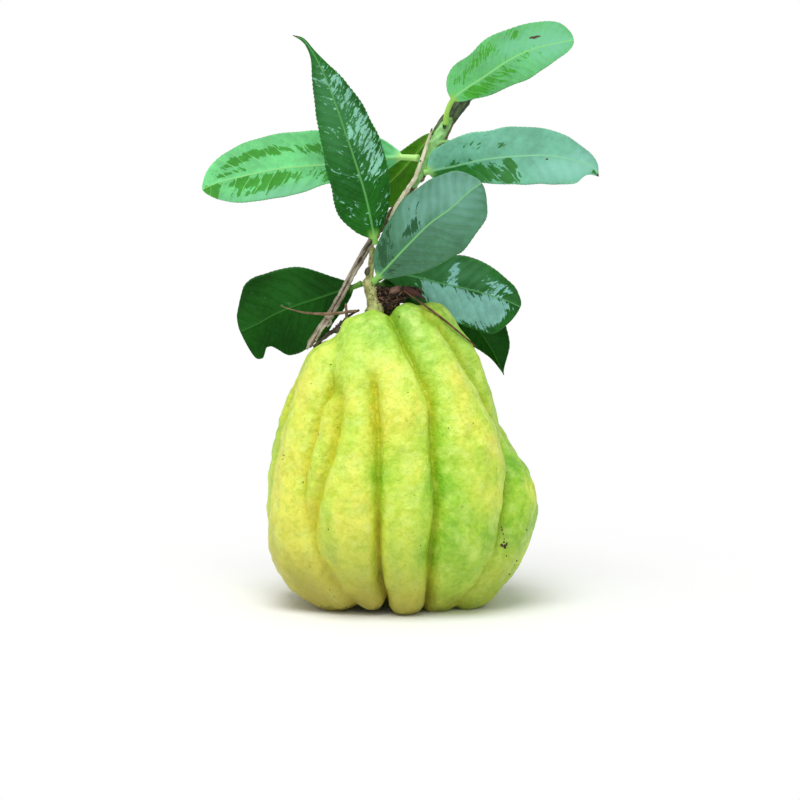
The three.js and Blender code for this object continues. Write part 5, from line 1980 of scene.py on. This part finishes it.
@dataclass
class Litter:
    """Dry matter caught on the fruit: a scrap by the stalk, needles, a tendril and crumbs.

    scrap, wedge and shoulder hold x, y, z and radius of the heaps. needle holds x, z, lift off
    the skin and radius, and specks hold x, z and half size.
    """

    fruit: Fruit
    cores: tuple[Rod, ...] = SCRAP_CORES
    rods: tuple[Rod, ...] = DRY_RODS
    flattening: Point = (1.0, 0.7, 0.55)
    scrap: tuple[Ball, ...] = (
        (-9.6, -0.6, 128.6, 1.4), (-7.4, -1.6, 127.4, 2.6), (-4, -2.4, 126.6, 3.2),
        (0, -3.0, 127.2, 2.9), (4, -3.4, 127.8, 2.3), (8, -4, 127.2, 1.2))
    wedge: tuple[Ball, ...] = (
        (-9.0, -1.6, 125.4, 1.8), (-7.2, -2.4, 122.6, 2.2), (-5.0, -2.8, 121.8, 2.3),
        (-2.6, -2.8, 124.0, 2.0), (0.4, -3, 125.4, 1.3))
    shoulder: tuple[Ball, ...] = (
        (-33.6, 0.6, 107.8, 0.5), (-30.6, 0.4, 109.9, 0.8), (-27.4, 0.2, 112.3, 0.9),
        (-24.6, 0, 115.4, 0.4))
    needle: tuple[Ball, ...] = (
        (0.6, 128.6, 5.0, 0.22), (4.6, 125.8, 4.6, 0.34), (11, 121.3, 1.9, 0.42),
        (17.6, 116.4, 1.6, 0.42), (24.4, 110.6, 1.6, 0.38), (30.2, 105.4, 1.4, 0.22))
    specks: tuple[Point, ...] = (
        (39.8, 35.2, 0.5), (40.2, 34.2, 0.55), (40.6, 32.6, 0.4), (41.0, 30.6, 0.4),
        (40.8, 29.2, 0.6), (40.0, 28.2, 0.9), (41.2, 27.6, 0.9), (42.0, 28.4, 0.7),
        (41.4, 26.8, 0.6), (42.0, 23.4, 0.4), (50.4, 33.0, 0.4), (43.6, 14.6, 0.4),
        (-1.2, 118.5, 0.4), (-28.6, 99.6, 0.35), (-39.5, 53.6, 0.4), (18.5, 76.4, 0.3),
        (-33.4, 73.0, 0.3), (-5.6, 71.8, 0.25), (-32.8, 65.0, 0.22), (-29.2, 37.0, 0.34),
        (-22.6, 3.0, 0.35), (7.4, 31.0, 0.3), (-37.0, 20.0, 0.28), (-27.0, 8.2, 0.3),
        (-9.2, 24.6, 0.28), (-10.2, 26.8, 0.25), (-7.8, 9.0, 0.26), (-29.0, 10.8, 0.22),
        (28.4, 78.0, 0.25), (15.2, 56.6, 0.28), (32.6, 20.4, 0.26), (-1.4, 57.0, 0.22),
        (24.0, 46.0, 0.22), (46.4, 20.2, 0.4), (45.6, 18.6, 0.3), (-47.6, 63.4, 0.34),
        (-48.0, 61.8, 0.26), (2.4, 90.6, 0.24), (-36.4, 92.0, 0.24))

    @staticmethod
    def heap(line: tuple[Ball, ...], count: int, size: Point, seed: int) -> tuple[Array, Array]:
        """Scatter chips in a tube around a line.

        Args:
            line: Knots of the line with the tube's radius.
            count: Number of chips.
            size: Largest half sizes of a chip.
            seed: Seed of the scatter.

        Returns:
            Places and half sizes, both of shape (count, 3).
        """
        rng = np.random.default_rng(seed)
        table = np.array(line, float)
        route = Route(table[:, :3])
        share = rng.uniform(0.02, 0.98, count)
        radius = np.interp(route.knot(share), np.arange(len(table)), table[:, 3])
        offset = rng.normal(size=(count, 3))
        offset *= (radius * rng.uniform(0.2, 1.0, count) / np.linalg.norm(offset, axis=1))[:, None]
        return route.at(share) + offset, np.array(size) * rng.uniform(0.35, 1.0, (count, 1))

    def build(self) -> None:
        """Build the scrap and the shoulder flakes, every rod, and the dirt specks."""
        heaps = (self.heap(self.scrap, 520, (1.4, 0.5, 0.3), seed=3),
                 self.heap(self.wedge, 700, (1.2, 0.5, 0.3), seed=4))
        places, sizes = (np.vstack(parts) for parts in zip(*heaps))
        Crumbs("scrap_chips", places, sizes, seed=5).build(
            LitterFinish(), "dry_litter", "dry_scrap")
        places, sizes = self.heap(self.shoulder, 70, (1.0, 0.5, 0.3), seed=8)
        Crumbs("shoulder_flakes", places, sizes, seed=9).build(
            LitterFinish((0.11, 0.07, 0.045)), "dry_litter", "shoulder_scrap")
        for rod in (*self.cores, self._needle(), *self.rods):
            rod.build()
        self._specks()

    def _needle(self) -> Rod:
        """Lay the needle over the fruit's shoulder, each knot lifted off the skin.

        Returns:
            The needle's rod.
        """
        table = np.array(self.needle)
        skin = self.fruit.front(table[:, :2])
        knots = tuple((float(x), float(point[1] - lift), float(z), float(radius))
                      for (x, z, lift, radius), point in zip(table, skin))
        return Rod("needle_stem", "dry_litter", RED_NEEDLE, knots, "dry_needle", around=18)

    def _specks(self) -> None:
        """Press small crumbs of dirt into the skin."""
        table = np.array(self.specks)
        places = self.fruit.front(table[:, :2])
        sizes = table[:, 2:] * np.array([self.flattening])
        Crumbs("dirt_specks", places, sizes, seed=12).build(LitterFinish((0.10, 0.055, 0.03)),
                                                            "dry_litter")


# ---------------------------------------------------------------- setting

@dataclass
class Studio:
    """Pale floor, white surroundings, one soft lamp and the camera, in metres and degrees."""

    target: Point = (0.0002, 0.0, 0.083)
    elevation: float = 7.0
    distance: float = 1.3
    view_width: float = 0.327
    sensor: float = 36.0
    floor_size: float = 12.0
    floor_colour: Colour = (0.95, 0.95, 0.95)
    surround: float = 0.58
    shadow_reach: tuple[float, float] = (0.055, 0.24)
    lamp_place: Point = (-0.12, -0.38, 1.10)
    lamp_size: float = 0.8
    lamp_watts: float = 8.9

    def build(self) -> None:
        """Set up the world, floor, lamp and camera."""
        bpy.context.scene.view_settings.view_transform = "Standard"
        self._world()
        self._floor()
        self._lamp()
        self._camera()

    def _world(self) -> None:
        """White surroundings for the eye, softer light for everything else."""
        world = bpy.data.worlds.new("white_surround")
        bpy.context.scene.world = world
        world.use_nodes = True
        tree = world.node_tree
        tree.nodes["Background"].inputs["Color"].default_value = (1.0, 1.0, 1.0, 1.0)
        tree.links.new(self._seen(tree, self.surround, 1.0),
                       tree.nodes["Background"].inputs["Strength"])

    @staticmethod
    def _seen(tree: bpy.types.NodeTree, unseen: float, seen: float) -> bpy.types.NodeSocket:
        """One number for camera and transmitted rays, another for the rest.

        Args:
            tree: Node tree to add to.
            unseen: Number for light that falls on surfaces.
            seen: Number for rays that show the surroundings.

        Returns:
            The output socket.
        """
        path = tree.nodes.new("ShaderNodeLightPath")
        every = tree.nodes.new("ShaderNodeMath")
        every.operation = "MAXIMUM"
        tree.links.new(path.outputs["Is Camera Ray"], every.inputs[0])
        tree.links.new(path.outputs["Is Transmission Ray"], every.inputs[1])
        level = tree.nodes.new("ShaderNodeMapRange")
        level.inputs["To Min"].default_value = unseen
        level.inputs["To Max"].default_value = seen
        tree.links.new(every.outputs[0], level.inputs["Value"])
        return level.outputs[0]

    def _floor(self) -> None:
        """A wide plane that takes the shadow near the fruit and is plain white farther out."""
        half = self.floor_size / 2
        corners = np.array([(-half, -half, 0), (half, -half, 0), (half, half, 0), (-half, half, 0)])
        mesh = bpy.data.meshes.new("floor")
        mesh.from_pydata(corners.tolist(), [], [(0, 1, 2, 3)])
        floor = bpy.data.objects.new("floor", mesh)
        bpy.context.scene.collection.objects.link(floor)
        shader = Shader("pale_floor")
        tree = shader.tree
        shader.finish(Base_Color=self.floor_colour, Roughness=0.9, Specular_IOR_Level=0.1)
        glow = shader.node("ShaderNodeEmission")
        length = shader.node("ShaderNodeVectorMath", operation="LENGTH")
        shader.feed(length.inputs[0], shader.place())
        far = shader.rise(length.outputs["Value"], *self.shadow_reach)
        share = shader.math("MULTIPLY", far, self._seen(tree, 0.0, 1.0))
        blend = shader.node("ShaderNodeMixShader")
        for index, value in ((0, share), (1, shader.surface.outputs[0]), (2, glow.outputs[0])):
            shader.feed(blend.inputs[index], value)
        shader.feed(tree.nodes["Material Output"].inputs["Surface"], blend.outputs[0])
        mesh.materials.append(shader.material)

    def _lamp(self) -> None:
        """A large soft lamp above, in front and to the left."""
        lamp = bpy.data.lights.new("soft_lamp", "AREA")
        lamp.shape = "DISK"
        lamp.size = self.lamp_size
        lamp.energy = self.lamp_watts
        holder = bpy.data.objects.new("soft_lamp", lamp)
        holder.location = self.lamp_place
        aim = Vector(self.target) - holder.location
        holder.rotation_euler = aim.to_track_quat("-Z", "Y").to_euler()
        bpy.context.scene.collection.objects.link(holder)

    def _camera(self) -> None:
        """A long lens a little above the fruit, looking back along the y axis."""
        camera = bpy.data.cameras.new("camera")
        camera.sensor_width = self.sensor
        camera.lens = self.sensor * self.distance / self.view_width
        holder = bpy.data.objects.new("camera", camera)
        lift = math.radians(self.elevation)
        away = Vector((0.0, -math.cos(lift), math.sin(lift))) * self.distance
        holder.location = Vector(self.target) + away
        holder.rotation_euler = (-away).to_track_quat("-Z", "Y").to_euler()
        bpy.context.scene.collection.objects.link(holder)
        bpy.context.scene.camera = holder


def main() -> None:
    """Build every sub-assembly in order, logging each."""
    logging.basicConfig(level=logging.INFO, format="%(name)s: %(message)s")
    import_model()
    fruit = Fruit()
    for part in (Studio(), fruit, Twig(), *LEAVES, Litter(fruit)):
        LOG.info("building %s", type(part).__name__.lower())
        part.build()


if __name__ == "__main__":
    main()
